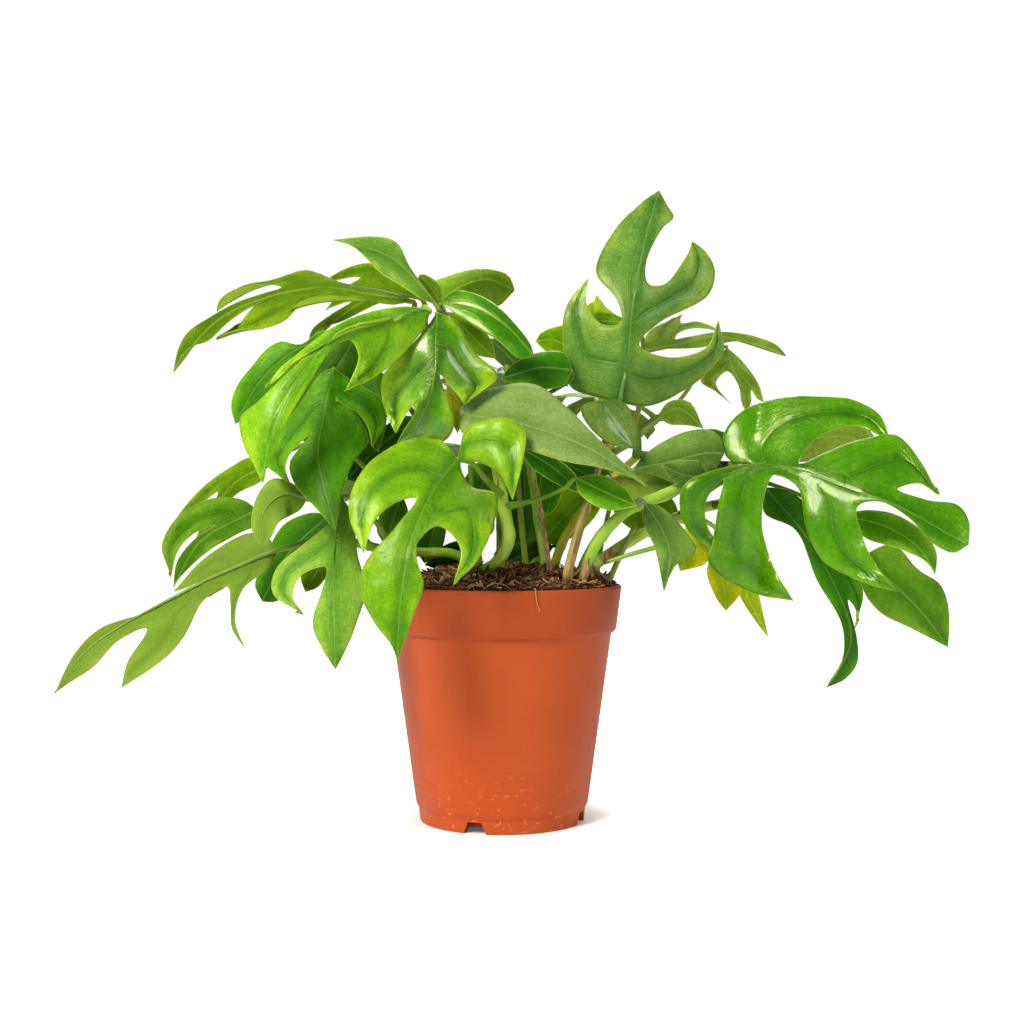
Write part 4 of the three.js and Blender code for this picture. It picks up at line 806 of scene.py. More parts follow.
# A leaf's given brightness value scales its colour: partly its own tone and partly painted light and shade,
# which make up for how much lamp light reaches it.
LEAVES = [
    dict(name="leaf_crown", vine="stem_crown", tint="mature", tone_and_painted_light=1.4, lean=[0.15, 0.3], curl=[0.25, 0.3],
         stalk=[[87, 226, 14], [85, 244, 8]],
         rib=[[74, 261, -6], [79, 294, -14], [83, 326, -12], [91, 367, 4], [99, 395, 20]],
         left=[lobe(0.34, [[62, 264], [43, 271], [38, 298], [41, 325]], [54, 341], [[53, 324], [63, 311]],
                 [75, 312]),
               lobe(1, [[72, 327], [59, 344], [66, 364], [88, 388]])],
         right=[lobe(0.24, [[92, 259], [123, 274], [140, 294]], [138, 314], [[129, 296], [105, 290]],
                 [87, 298]),
                lobe(0.5, [[100, 312], [130, 329], [134, 344], [127, 357]], [120, 363], [[115, 352],
                 [102, 336]], [92, 337]),
                lobe(1, [[91, 350], [101, 371], [108, 378], [104, 386]])]),
    dict(name="leaf_right_large", vine="stem_front_right", tint="vivid", tone_and_painted_light=0.9, lean=[0.45, -0.1],
         curl=[0.1, 0.25],
         stalk=[[132, 215, -18], [147, 224, -30]],
         rib=[[158, 223, -42], [185, 220, -60], [216, 209, -76], [254, 194, -92], [294, 172, -104]],
         left=[lobe(0.2, [[142, 226], [139, 241], [153, 257], [181, 265], [219, 264], [237, 256]],
                 [245, 239], [[222, 247], [199, 240]], [187, 223]),
               lobe(0.62, [[203, 230], [231, 240], [248, 242], [263, 226]], [276, 204], [[263, 211]],
                 [249, 207]),
               lobe(1, [[266, 201], [287, 197], [294, 186]])],
         right=[lobe(0.02, [[142, 221], [115, 210], [112, 194], [120, 177]], [146, 164], [[130, 182],
                 [129, 200]], [140, 213]),
                lobe(0.14, [[137, 200], [133, 175], [130, 160], [153, 143]], [183, 136], [[168, 165],
                 [163, 191]], [171, 216]),
                lobe(0.48, [[186, 208], [192, 181], [202, 162], [227, 148]], [249, 142], [[234, 161],
                 [226, 180]], [224, 196]),
                lobe(1, [[238, 199], [256, 189], [273, 172], [285, 167]])]),
    dict(name="leaf_front", vine="stem_front_left", tint="spring", tone_and_painted_light=0.9, lean=[0.1, 0.15],
         stalk=[[-1, 203, -24], [-11, 214, -46], [-20, 224, -62]],
         rib=[[-28, 226, -70], [-44, 205, -100], [-57, 175, -118], [-64, 137, -128], [-66, 98, -126]],
         left=[lobe(0.06, [[-23, 245, -4], [2, 252, -14], [14, 245, -18], [13, 225, -22]], [6, 200, -26],
                 [[-3, 218, -16]], [-26, 224]),
               lobe(0.4, [[-20, 209], [-3, 204], [-6, 182], [-16, 161]], [-30, 147], [[-26, 170],
                 [-40, 184]], [-56, 167]),
               lobe(1, [[-49, 148], [-55, 129], [-62, 109]])],
         right=[lobe(0.2, [[-39, 238], [-64, 237], [-88, 219], [-97, 194]], [-88, 167], [[-80, 187],
                 [-67, 198]], [-54, 201]),
                lobe(1, [[-69, 181], [-88, 159], [-91, 142], [-80, 122], [-69, 107]])]),
    dict(name="leaf_grey_mid", vine="stem_centre", tint="bloomed", lean=[0.7, -0.5], curl=[0.4, 0.2],
         stalk=[[13, 240, -2], [-6, 252, -24], [-23, 260, -38]],
         rib=[[-25, 255, -50], [18, 247, -64], [55, 233, -80], [91, 209, -92]],
         **uncut([[-15, 269], [-1, 273], [21, 274], [40, 260], [62, 238], [81, 219]], [[-26, 243], [14, 232],
                 [37, 225], [68, 219], [82, 214]])),
    dict(name="leaf_low_left", vine="stem_low_left", tint="soft", under=True, tone_and_painted_light=0.9, lean=[-0.6, 1.3],
         curl=[-0.3, 0.5],
         stalk=[[-113, 174, -27], [-127, 172, -33]],
         rib=[[-142, 167, -40], [-165, 157, -50], [-193, 145, -60], [-234, 123, -74], [-261, 104, -82],
              [-282, 78, -84]],
         left=[lobe(0.14, [[-147, 157], [-163, 143], [-168, 124]], [-161, 104], [[-170, 118], [-171, 134]],
                 [-173, 145]),
               lobe(0.5, [[-187, 137], [-200, 114], [-210, 102]], [-239, 80], [[-236, 96]], [-224, 119]),
               lobe(1, [[-242, 111], [-258, 94], [-272, 85]])],
         right=[lobe(0.36, [[-146, 175], [-158, 179], [-187, 163]], [-207, 142], [[-198, 145]], [-192, 148]),
                lobe(1, [[-202, 141], [-212, 135], [-228, 128], [-253, 119], [-270, 102]])]),
    dict(name="leaf_top_left", vine="stem_back_left", tint="olive", lean=[-0.5, 1.4], curl=[-0.3, 0.8],
         stalk=[[-60, 298, 15], [-59, 312, 0]],
         rib=[[-56, 326, -22], [-83, 330, -12], [-115, 334, 2], [-147, 328, 18], [-181, 312, 34],
              [-207, 281, 44]],
         left=[lobe(0.46, [[-67, 323], [-93, 327], [-112, 329], [-126, 325], [-137, 314], [-152, 308],
                 [-166, 307]], [-181, 301], [[-170, 307], [-163, 315]], [-156, 323]),
               lobe(1, [[-165, 318], [-176, 309], [-186, 300], [-197, 296], [-203, 289]])],
         right=[lobe(0.4, [[-74, 332], [-99, 336], [-122, 345], [-145, 339], [-165, 335], [-176, 328]],
                 [-180, 319], [[-177, 326], [-168, 332], [-151, 336]], [-139, 334]),
                lobe(1, [[-151, 330], [-166, 325], [-183, 316], [-198, 306], [-204, 295]])]),
    dict(name="leaf_top_left_back", vine="stem_back_left", tint="olive", lean=[-0.4, 0.9], curl=[0.2, 0.5],
         stalk=[[-58, 282, 21], [-49, 307, 22], [-48, 321, 12]],
         rib=[[-52, 328, 6], [-74, 330, 24], [-96, 320, 44], [-122, 298, 62]],
         left=[lobe(1, [[-74, 325], [-88, 319], [-102, 312], [-115, 308]])],
         right=[lobe(0.36, [[-61, 337], [-80, 349], [-99, 346], [-112, 339]], [-123, 329], [[-110, 337],
                 [-98, 340]], [-89, 340]),
                lobe(0.54, [[-98, 335], [-105, 329]], [-113, 320], [[-105, 323]], [-95, 325]),
                lobe(1, [[-108, 317], [-120, 307]])]),
    dict(name="leaf_top_back", vine="stem_back_left", tint="olive", tone_and_painted_light=1.6, lean=[0.8, 0.4],
         curl=[0.5, 0.2],
         stalk=[[-56, 272, 22], [-44, 301, 24], [-40, 317, 20]],
         rib=[[-39, 326, 20], [-25, 335, 38], [-9, 339, 60], [8, 332, 84]],
         **uncut([[-47, 336], [-36, 341], [-14, 346], [4, 342]], [[-30, 325], [-15, 326], [-3, 322]])),
    dict(name="leaf_horn", vine="stem_front_left", tint="soft", lean=[-0.8, 0.6], curl=[0.3, 0.3],
         stalk=[[-25, 285, -3], [-34, 304, -22], [-38, 316, -42]],
         rib=[[-41, 323, -50], [-53, 337, -44], [-71, 354, -34], [-106, 364, -22]],
         **uncut([[-49, 326], [-64, 336], [-77, 344], [-93, 359]], [[-46, 330], [-58, 347], [-67, 363],
                 [-83, 366]])),
    dict(name="leaf_upper_right_bright", vine="stem_front_left", tint="vivid", tone_and_painted_light=0.9, lean=[0.7, -0.3],
         curl=[0.4, 0.2],
         stalk=[[-21, 276, -4], [-25, 298, -18], [-35, 315, -30]],
         rib=[[-39, 324, -38], [-19, 323, -44], [2, 311, -50], [20, 291, -52]],
         **uncut([[-30, 332], [-8, 326], [9, 310], [18, 298]], [[-26, 315], [-4, 301], [12, 289]])),
    dict(name="leaf_glossy", vine="stem_front_left", tint="lush", tone_and_painted_light=1.1, lean=[0.25, 0.25],
         curl=[0.35, 0.35],
         stalk=[[-18, 266, -5], [-23, 288, -30], [-34, 310, -46]],
         rib=[[-41, 318, -52], [-42, 296, -62], [-44, 271, -65], [-55, 245, -64], [-67, 234, -60]],
         left=[lobe(0.42, [[-32, 315], [-16, 294], [-2, 277], [-11, 269]], [-23, 260], [[-32, 271]],
                 [-39, 279]),
               lobe(1, [[-35, 266], [-30, 247], [-35, 238], [-52, 234]])],
         right=[lobe(0.6, [[-49, 307], [-66, 289], [-76, 278], [-76, 260]], [-67, 242], [[-60, 255]],
                 [-53, 263]),
                lobe(1, [[-55, 255], [-62, 244]])]),
    dict(name="leaf_upper_left_bright", vine="stem_front_left", tint="spring", tone_and_painted_light=1.1, lean=[0.2, 0.35],
         curl=[0.3, 0.3],
         stalk=[[-14, 255, -7], [-32, 282, -20], [-47, 308, -32], [-50, 321, -46]],
         rib=[[-45, 319, -58], [-67, 314, -70], [-97, 307, -84], [-119, 289, -96], [-142, 254, -108],
              [-151, 211, -112]],
         left=[lobe(0.34, [[-49, 308], [-63, 291], [-77, 279]], [-98, 269], [[-94, 277], [-90, 291]],
                 [-96, 301]),
               lobe(1, [[-105, 298], [-113, 287], [-127, 264], [-140, 242], [-149, 223]])],
         right=[lobe(0.5, [[-55, 322], [-77, 320], [-99, 313], [-127, 295], [-140, 284]], [-150, 271],
                 [[-137, 281], [-130, 288]], [-125, 290]),
                lobe(1, [[-134, 281], [-144, 272], [-155, 262], [-166, 252], [-164, 237], [-156, 221]])]),
    dict(name="leaf_left_shade", vine="stem_back_left", tint="deep", tone_and_painted_light=1.3, lean=[0.2, 0.4],
         curl=[0.2, 0.4],
         stalk=[[-57, 272, 22], [-74, 298, 14], [-89, 306, -6]],
         rib=[[-99, 302, -20], [-127, 296, -26], [-152, 276, -28], [-168, 248, -26]],
         **uncut([[-102, 287], [-127, 268], [-151, 255]], [[-113, 307], [-127, 298], [-141, 300],
                 [-156, 287], [-169, 268], [-171, 258]])),
    dict(name="leaf_mid_dark", vine="stem_back_left", tint="deep", tone_and_painted_light=1.15, curl=[0.4, 0.4],
         stalk=[[-37, 205, 26], [-67, 209, -12], [-96, 232, -42], [-101, 263, -44]],
         rib=[[-106, 283, -48], [-112, 256, -60], [-116, 228, -74], [-110, 200, -86], [-105, 181, -92]],
         left=[lobe(0.18, [[-95, 276], [-77, 264], [-73, 249]], [-81, 234], [[-84, 246], [-91, 256]],
                 [-105, 262]),
               lobe(1, [[-96, 259], [-87, 248], [-84, 237], [-93, 225], [-101, 204]])],
         right=[lobe(0.42, [[-113, 281], [-127, 263], [-140, 245], [-150, 224]], [-134, 211], [[-137, 221],
                 [-133, 231]], [-120, 242]),
                lobe(1, [[-128, 233], [-134, 223], [-130, 209], [-119, 197]])]),
    dict(name="leaf_mid_shade", vine="stem_back_left", tint="shade", tone_and_painted_light=1.2, curl=[0.4, 0.4],
         stalk=[[-49, 241, 25], [-64, 266, 0], [-86, 288, -14]],
         rib=[[-96, 294, -22], [-88, 272, -30], [-81, 250, -34], [-78, 230, -32]],
         **uncut([[-84, 293], [-74, 272], [-73, 247]], [[-103, 285], [-99, 260], [-88, 240]])),
    dict(name="leaf_pale_small", vine="stem_low_left", tint="soft", under=True, lean=[-0.3, 0.5],
         curl=[0.2, 0.4],
         stalk=[[-99, 174, -23], [-105, 189, -30], [-115, 199, -38]],
         rib=[[-123, 200, -46], [-137, 203, -54], [-149, 192, -62], [-151, 170, -66]],
         **uncut([[-127, 194], [-140, 186], [-145, 177]], [[-130, 209], [-145, 213], [-155, 200],
                 [-157, 181]])),
    dict(name="leaf_low_shade", vine="stem_low_left", tint="shade", tone_and_painted_light=1.5, lean=[-0.2, 0.4],
         stalk=[[-84, 171, -20], [-93, 184, -12], [-101, 190, -8]],
         rib=[[-108, 191, -8], [-124, 178, -6], [-139, 161, 0], [-151, 136, 6]],
         **uncut([[-112, 176], [-127, 156], [-142, 136]], [[-122, 192], [-139, 184], [-151, 161],
                 [-156, 146]])),
    dict(name="leaf_left_mid", vine="stem_back_left", tint="meadow", tone_and_painted_light=1.1, lean=[-0.3, 0.7],
         curl=[0.2, 0.4],
         stalk=[[-36, 209, 26], [-71, 219, 14], [-115, 213, 2], [-140, 201, -4]],
         rib=[[-154, 194, -6], [-173, 185, -2], [-192, 172, 6], [-207, 145, 14]],
         left=[lobe(1, [[-154, 185], [-166, 179], [-186, 167], [-202, 152]])],
         right=[lobe(0.4, [[-165, 201], [-184, 201], [-202, 192], [-215, 172]], [-209, 151], [[-205, 167],
                 [-194, 179]], [-181, 184]),
                lobe(1, [[-193, 176], [-205, 161]])]),
    dict(name="leaf_left_olive", vine="stem_back_left", tint="olive", tone_and_painted_light=1.2, lean=[-0.3, 0.7],
         curl=[0.2, 0.4],
         stalk=[[-39, 219, 26], [-74, 238, 32], [-115, 238, 30], [-139, 228, 24]],
         rib=[[-150, 221, 22], [-166, 213, 34], [-181, 195, 48], [-195, 161, 64]],
         left=[lobe(1, [[-151, 213], [-168, 203], [-180, 186], [-187, 171]])],
         right=[lobe(0.3, [[-158, 227], [-173, 220], [-193, 205]], [-210, 182], [[-193, 195]], [-179, 205]),
                lobe(1, [[-185, 192], [-193, 175]])]),
    dict(name="leaf_low_hanging", vine="stem_low_left", tint="soft", tone_and_painted_light=1.35, curl=[0.4, 0.3],
         stalk=[[-67, 169, -17], [-80, 187, -30], [-93, 201, -48]],
         rib=[[-101, 202, -52], [-104, 181, -64], [-106, 156, -76], [-106, 124, -84], [-105, 93, -82]],
         left=[lobe(1, [[-94, 191], [-91, 168], [-86, 143], [-91, 123], [-100, 102]])],
         right=[lobe(0.36, [[-106, 189], [-127, 172], [-143, 157], [-146, 142]], [-127, 128], [[-133, 140],
                 [-127, 153]], [-111, 158]),
                lobe(1, [[-115, 140], [-120, 123], [-114, 107]])]),
    dict(name="leaf_back_right_long", vine="stem_back_right", tint="straw", tone_and_painted_light=1.8, lean=[0.8, -0.3],
         curl=[0.5, 0.2],
         stalk=[[78, 238, 76], [87, 263, 52], [84, 285, 26]],
         rib=[[87, 294, 18], [110, 298, 36], [137, 303, 66], [179, 291, 96]],
         left=[lobe(0.12, [[93, 307], [104, 313]], [115, 318], [[113, 315]], [113, 312]),
               lobe(0.3, [[123, 313], [132, 310]], [140, 305], [[129, 308], [117, 308], [110, 305]],
                 [106, 301]),
               lobe(1, [[118, 303], [139, 306], [161, 303], [173, 298]])],
         right=[lobe(1, [[101, 295], [125, 296], [151, 300], [168, 296]])]),
    dict(name="leaf_back_right_hanging", vine="stem_back_right", tint="straw", tone_and_painted_light=1.7, curl=[0.4, 0.4],
         stalk=[[81, 235, 80], [112, 263, 84], [134, 294, 78]],
         rib=[[142, 296, 72], [144, 286, 78], [151, 271, 84], [154, 255, 86]],
         left=[lobe(0.5, [[151, 288], [161, 275]], [166, 261], [[161, 264]], [157, 269]),
               lobe(1, [[157, 262]])],
         right=[lobe(0.3, [[136, 291], [126, 280], [125, 274], [134, 268]], [145, 260], [[137, 268],
                 [135, 274]], [142, 281]),
                lobe(1, [[149, 272], [151, 261]])]),
    dict(name="leaf_back_right_pale", vine="stem_back_right", tint="straw", tone_and_painted_light=2, lean=[0.4, -0.2],
         stalk=[[69, 230, 70], [81, 238, 48], [90, 247, 34]],
         rib=[[98, 253, 30], [112, 258, 36], [127, 245, 40]],
         **uncut([[105, 262], [118, 262]], [[105, 248], [117, 247]])),
    dict(name="leaf_behind_crown", vine="stem_back_right", tint="olive", tone_and_painted_light=1.5, lean=[0.3, 0.5],
         stalk=[[64, 225, 66], [73, 263, 44], [88, 287, 18]],
         rib=[[87, 306, 6], [74, 312, 12], [62, 313, 16], [47, 315, 20]],
         left=[lobe(1, [[74, 308], [64, 309], [54, 312]])],
         right=[lobe(0.8, [[76, 315], [66, 317], [59, 318], [58, 323]], [60, 328], [[56, 325]], [52, 322]),
                lobe(1, [[49, 318]])]),
    dict(name="leaf_small_bright", vine="stem_centre", tint="olive", tone_and_painted_light=1.4, lean=[-0.2, 0.5],
         curl=[0.1, 0.3],
         stalk=[[4, 272, 12], [24, 279, 22], [40, 287, 22]],
         rib=[[45, 293, 20], [34, 301, 18], [21, 300, 14]],
         **uncut([[40, 291], [29, 293]], [[44, 310], [33, 309], [25, 306]])),
    dict(name="leaf_folded", vine="stem_centre", tint="shade", tone_and_painted_light=1.6, lean=[-0.5, 0.9], curl=[0.2, 0.4],
         stalk=[[8, 257, 6], [27, 266, 2], [43, 276, -8]],
         rib=[[44, 282, -14], [24, 284, -18], [-1, 276, -16]],
         **uncut([[40, 273], [29, 270], [11, 272]], [[40, 292], [21, 293], [6, 285]])),
    dict(name="leaf_under_crown", vine="stem_brown", tint="mature", tone_and_painted_light=0.9, curl=[0.3, 0.3],
         stalk=[[66, 244, -14], [59, 258, -14]],
         rib=[[63, 263, -22], [69, 253, -30], [76, 242, -36], [84, 232, -40]],
         **uncut([[76, 262], [85, 247]], [[49, 259], [54, 247], [68, 235]])),
    dict(name="leaf_behind_large", vine="stem_right", tint="shade", tone_and_painted_light=1.7, lean=[0.5, 0.2],
         curl=[0.3, 0.2],
         stalk=[[132, 197, 7], [151, 200, -10]],
         rib=[[166, 208, -18], [188, 182, -22], [210, 146, -22], [220, 112, -16], [205, 82, -6]],
         left=[lobe(0.5, [[181, 206], [212, 172], [229, 142]], [222, 118], [[224, 129]], [218, 137]),
               lobe(1, [[224, 112], [224, 97], [217, 87]])],
         right=[lobe(1, [[165, 192], [185, 181], [198, 150], [214, 121], [214, 98]])]),
    dict(name="leaf_lower_right", vine="stem_right", tint="meadow", tone_and_painted_light=1.7, lean=[0.4, 0.1],
         curl=[0.3, 0.3],
         stalk=[[150, 201, 12], [181, 197, 16], [212, 178, 10]],
         rib=[[227, 165, 2], [246, 148, 10], [265, 129, 24], [281, 107, 36]],
         **uncut([[246, 172], [263, 156], [278, 145], [282, 123]], [[227, 146], [236, 131], [258, 119]])),
    dict(name="leaf_right_back", vine="stem_right", tint="meadow", tone_and_painted_light=2.1, lean=[0.5, -0.2],
         curl=[0.3, 0.2],
         stalk=[[110, 189, 2], [144, 213, -2], [181, 206, -10], [200, 196, -24]],
         rib=[[214, 190, -34], [241, 184, -46], [262, 171, -56], [273, 153, -62]],
         **uncut([[229, 194], [249, 191], [266, 180], [274, 167]], [[229, 176], [252, 169], [267, 161]])),
    dict(name="leaf_mid_right_grey", vine="stem_brown", tint="blueish", tone_and_painted_light=1.1, lean=[0.5, 0],
         curl=[0.3, 0.2],
         stalk=[[62, 224, -24], [71, 224, -22]],
         rib=[[82, 219, -28], [112, 226, -34], [130, 230, -36], [140, 229, -34]],
         **uncut([[91, 230], [112, 242], [129, 245], [138, 239]], [[94, 216], [117, 209], [132, 215]])),
    dict(name="leaf_behind_right", vine="stem_right", tint="straw", tone_and_painted_light=1.1, lean=[0.6, -0.1],
         curl=[0.3, 0.2],
         stalk=[[118, 192, 4], [136, 216, 18]],
         rib=[[155, 230, 6], [188, 238, 6], [219, 240, 8], [241, 230, 10]],
         **uncut([[169, 247], [197, 254], [227, 248]], [[172, 224], [202, 225], [227, 228]])),
    dict(name="leaf_right_hanging_blue", vine="stem_front_right", tint="blueish", tone_and_painted_light=1.15,
         lean=[0.2, 0.3], curl=[0.3, 0.3],
         stalk=[[85, 196, -30], [87, 200, -40]],
         rib=[[90, 198, -46], [101, 181, -56], [106, 165, -64], [102, 142, -66]],
         **uncut([[100, 196], [117, 180], [123, 168], [108, 158]], [[88, 189], [96, 170], [100, 152]])),
    dict(name="leaf_right_low_olive", vine="stem_right", tint="yellowing", tone_and_painted_light=1.6, curl=[0.3, 0.3],
         stalk=[[102, 185, 0], [113, 189, -10]], rib=[[118, 186, -20], [120, 172, -26], [112, 155, -28]],
         **uncut([[127, 175], [129, 161]], [[112, 177], [110, 165]])),
    dict(name="leaf_right_low_yellow", vine="stem_right", tint="yellowing", tone_and_painted_light=1.6, curl=[0.3, 0.3],
         stalk=[[110, 189, 3], [125, 181, 16]], rib=[[132, 165, 18], [139, 148, 14], [141, 130, 14]],
         **uncut([[144, 158], [151, 143]], [[129, 155], [135, 138]])),
    dict(name="leaf_right_low_pale", vine="stem_right", tint="yellowing", tone_and_painted_light=1.9, lean=[0.4, 0.2],
         stalk=[[117, 192, 4], [136, 181, 26]], rib=[[150, 157, 34], [156, 137, 34], [168, 113, 34]],
         **uncut([[160, 146], [165, 127]], [[149, 142], [160, 123]])),
    dict(name="leaf_mid_right_low", vine="stem_front_left", tint="meadow", tone_and_painted_light=2.2, lean=[0.5, -0.2],
         stalk=[[3, 196, -28], [24, 201, -42], [40, 208, -50]],
         rib=[[46, 214, -54], [64, 206, -60], [85, 196, -64]],
         **uncut([[62, 216], [77, 208]], [[49, 204], [66, 194]])),
    dict(name="leaf_mid_pale", vine="stem_crown", tint="straw", under=True, tone_and_painted_light=1.5, lean=[0.5, -0.1],
         stalk=[[65, 206, 18], [66, 214, 6]], rib=[[69, 213, -8], [93, 210, -14], [116, 206, -16]],
         **uncut([[86, 221], [102, 220]], [[79, 199], [100, 198]])),
    dict(name="leaf_mid_yellow_edge", vine="stem_centre", tint="shade", tone_and_painted_light=2.2, lean=[0.5, -0.1],
         stalk=[[16, 228, -7], [8, 234, -22]], rib=[[11, 233, -30], [32, 221, -36], [50, 204, -40]],
         **uncut([[27, 230], [46, 217]], [[18, 221], [37, 209]])),
    dict(name="leaf_mid_dark_hanging", vine="stem_centre", tint="shade", tone_and_painted_light=2.2,
         stalk=[[11, 247, 2], [24, 243, 8], [30, 233, 6]], rib=[[32, 224, 0], [32, 208, -6], [28, 190, -8]],
         **uncut([[39, 215], [34, 195]], [[25, 216], [24, 197]])),
    dict(name="leaf_core_yellow", vine="stem_crown", tint="olive", tone_and_painted_light=1.9, lean=[0.1, 0.1],
         curl=[0.1, 0.1],
         stalk=[[66, 208, 18], [65, 208, 26]],
         rib=[[62, 205, 30], [49, 198, 30], [37, 187, 28], [25, 174, 24]],
         **uncut([[62, 195], [54, 184], [42, 175], [32, 172]], [[55, 211], [40, 209], [25, 199],
                 [20, 185]])),
    dict(name="leaf_core_shade", vine="stem_back", tint="shade", tone_and_painted_light=1.2, lean=[0.1, 0.1], curl=[0.1, 0.1],
         stalk=[[-2, 200, 68], [6, 219, 56], [11, 224, 48]],
         rib=[[14, 224, 42], [14, 200, 46], [11, 181, 46], [8, 165, 42]],
         **uncut([[24, 218], [30, 200], [28, 178], [19, 165]], [[5, 216], [1, 200], [1, 181], [3, 168]])),
    # Leaves marked added stand for no solid of the plant and fill gaps in its core; those in the shade finish
    # stand partly for the shade that lies in those gaps, as painted shade.
    dict(name="leaf_below_bright", vine="stem_front_left", tint="olive", tone_and_painted_light=1.3, added=True,
         lean=[0.2, 0.2],
         stalk=[[-27, 291, -4], [-33, 304, -10], [-37, 316, -16]],
         rib=[[-37, 319, -20], [-25, 310, -22], [-14, 298, -24], [-4, 289, -26]],
         **uncut([[-26, 317], [-14, 310], [-6, 299]], [[-34, 308], [-28, 298], [-15, 291]])),
    dict(name="leaf_back_grey", vine="stem_centre", tint="blueish", added=True, lean=[0.2, 0.2],
         stalk=[[6, 268, 10], [11, 273, 18]], rib=[[13, 279, 22], [3, 292, 22], [-9, 302, 20]],
         **uncut([[4, 282], [-8, 293]], [[13, 291], [1, 301]])),
    dict(name="leaf_left_deep", vine="stem_back_left", tint="shade", added=True, lean=[0.1, 0.1],
         stalk=[[-58, 281, 21], [-74, 297, 0], [-88, 306, -30]],
         rib=[[-93, 302, -36], [-112, 271, -38], [-134, 238, -40]],
         **uncut([[-89, 293], [-94, 266], [-116, 238]], [[-107, 298], [-126, 279], [-137, 254]])),
    dict(name="leaf_middle_deep", vine="stem_back_left", tint="shade", added=True, lean=[0.1, 0.1],
         stalk=[[-49, 243, 25], [-49, 250, 8]],
         rib=[[-52, 252, -4], [-67, 242, -6], [-83, 228, -8], [-98, 213, -10]],
         **uncut([[-55, 237], [-69, 221], [-87, 210]], [[-63, 253], [-77, 244], [-93, 228]])),
    dict(name="leaf_young_narrow", vine="stem_front_left", tint="yellowing", added=True,
         stalk=[[-20, 272, -4], [-29, 278, -14]], rib=[[-35, 273, -20], [-27, 260, -22], [-28, 242, -24]],
         **uncut([[-25, 266], [-23, 254]], [[-35, 263], [-32, 250]])),
    dict(name="leaf_back_of_front_left", vine="stem_back_left", tint="vivid", added=True, lean=[0.1, 0.1],
         stalk=[[-38, 215, 26], [-54, 213, 26]], rib=[[-63, 204, 20], [-68, 189, 18], [-74, 172, 16]],
         **uncut([[-59, 192], [-63, 176]], [[-74, 197], [-79, 181]])),
    dict(name="leaf_back_of_front_right", vine="stem_back_left", tint="shade", added=True, lean=[0.1, 0.1],
         stalk=[[-35, 206, 26], [-35, 204, 18]], rib=[[-38, 198, 12], [-43, 181, 8], [-49, 160, 6]],
         **uncut([[-35, 185], [-39, 167]], [[-49, 190], [-56, 172]])),
    dict(name="leaf_low_olive", vine="stem_low_left", tint="olive", added=True, lean=[0.2, 0.2],
         stalk=[[-96, 174, -24], [-100, 179, -36]],
         rib=[[-106, 171, -42], [-115, 158, -46], [-124, 142, -48]],
         **uncut([[-106, 161], [-116, 145]], [[-117, 168], [-127, 153]])),
    dict(name="leaf_top_tuft", vine="stem_front_left", tint="olive", added=True,
         stalk=[[-27, 291, -3], [-34, 311, -8]], rib=[[-38, 323, -8], [-45, 334, -6], [-52, 342, -2]],
         **uncut([[-47, 326], [-54, 336]], [[-39, 335], [-48, 342]])),
    dict(name="leaf_middle_disc", vine="stem_crown", tint="shade", added=True, lean=[0.2, 0.2],
         stalk=[[87, 229, 14], [107, 228, 4]], rib=[[121, 232, 0], [130, 239, 2], [142, 242, 4]],
         **uncut([[122, 242], [132, 245]], [[129, 230], [139, 234]])),
    dict(name="leaf_core_high", vine="stem_centre", tint="shade", tone_and_painted_light=1.3, added=True, lean=[0.2, 0.2],
         stalk=[[13, 240, 0], [15, 237, 6]], rib=[[16, 234, 12], [37, 225, 12], [55, 215, 10], [69, 209, 8]],
         **uncut([[34, 234], [55, 226], [68, 218]], [[24, 223], [40, 209], [59, 204]])),
    dict(name="leaf_core_left", vine="stem_back_left", tint="shade", added=True, lean=[0.2, 0.2],
         stalk=[[-39, 219, 26], [-20, 228, 34]],
         rib=[[0, 226, 32], [-10, 213, 32], [-19, 199, 32], [-29, 182, 30]],
         **uncut([[4, 210], [-3, 192], [-18, 181]], [[-13, 225], [-24, 213], [-33, 196]])),
    dict(name="leaf_core_low", vine="stem_crown", tint="olive", tone_and_painted_light=1.2, added=True, lean=[0.2, 0.2],
         stalk=[[67, 209, 18], [68, 210, 21]],
         rib=[[69, 210, 22], [81, 199, 20], [93, 187, 18], [102, 175, 16]],
         **uncut([[87, 209], [107, 201], [111, 186]], [[68, 199], [76, 186], [91, 177]])),
    dict(name="leaf_hanging_lobe", vine="stem_front_right", tint="blueish", added=True, lean=[0.2, 0.2],
         stalk=[[136, 216, -16], [145, 221, -20]],
         rib=[[149, 224, -24], [134, 218, -34], [118, 215, -38], [100, 222, -38]],
         **uncut([[139, 214], [125, 207], [110, 210]], [[135, 225], [121, 225], [110, 225]])),
    dict(name="leaf_core_foot", vine="stem_crown", tint="shade", tone_and_painted_light=0.8, added=True, lean=[0.2, 0.2],
         stalk=[[38, 172, 18], [36, 172, 28]],
         rib=[[33, 171, 34], [21, 168, 34], [9, 164, 34], [-1, 161, 34]],
         **uncut([[25, 161], [9, 158]], [[21, 175], [6, 171]])),
    dict(name="leaf_core_foot_left", vine="stem_back_left", tint="shade", added=True, lean=[0.2, 0.2],
         stalk=[[-23, 175, 25], [-18, 175, 28]],
         rib=[[-13, 171, 30], [-25, 167, 30], [-38, 163, 28], [-49, 159, 26]],
         **uncut([[-24, 159], [-38, 156]], [[-24, 175], [-39, 170]])),
]


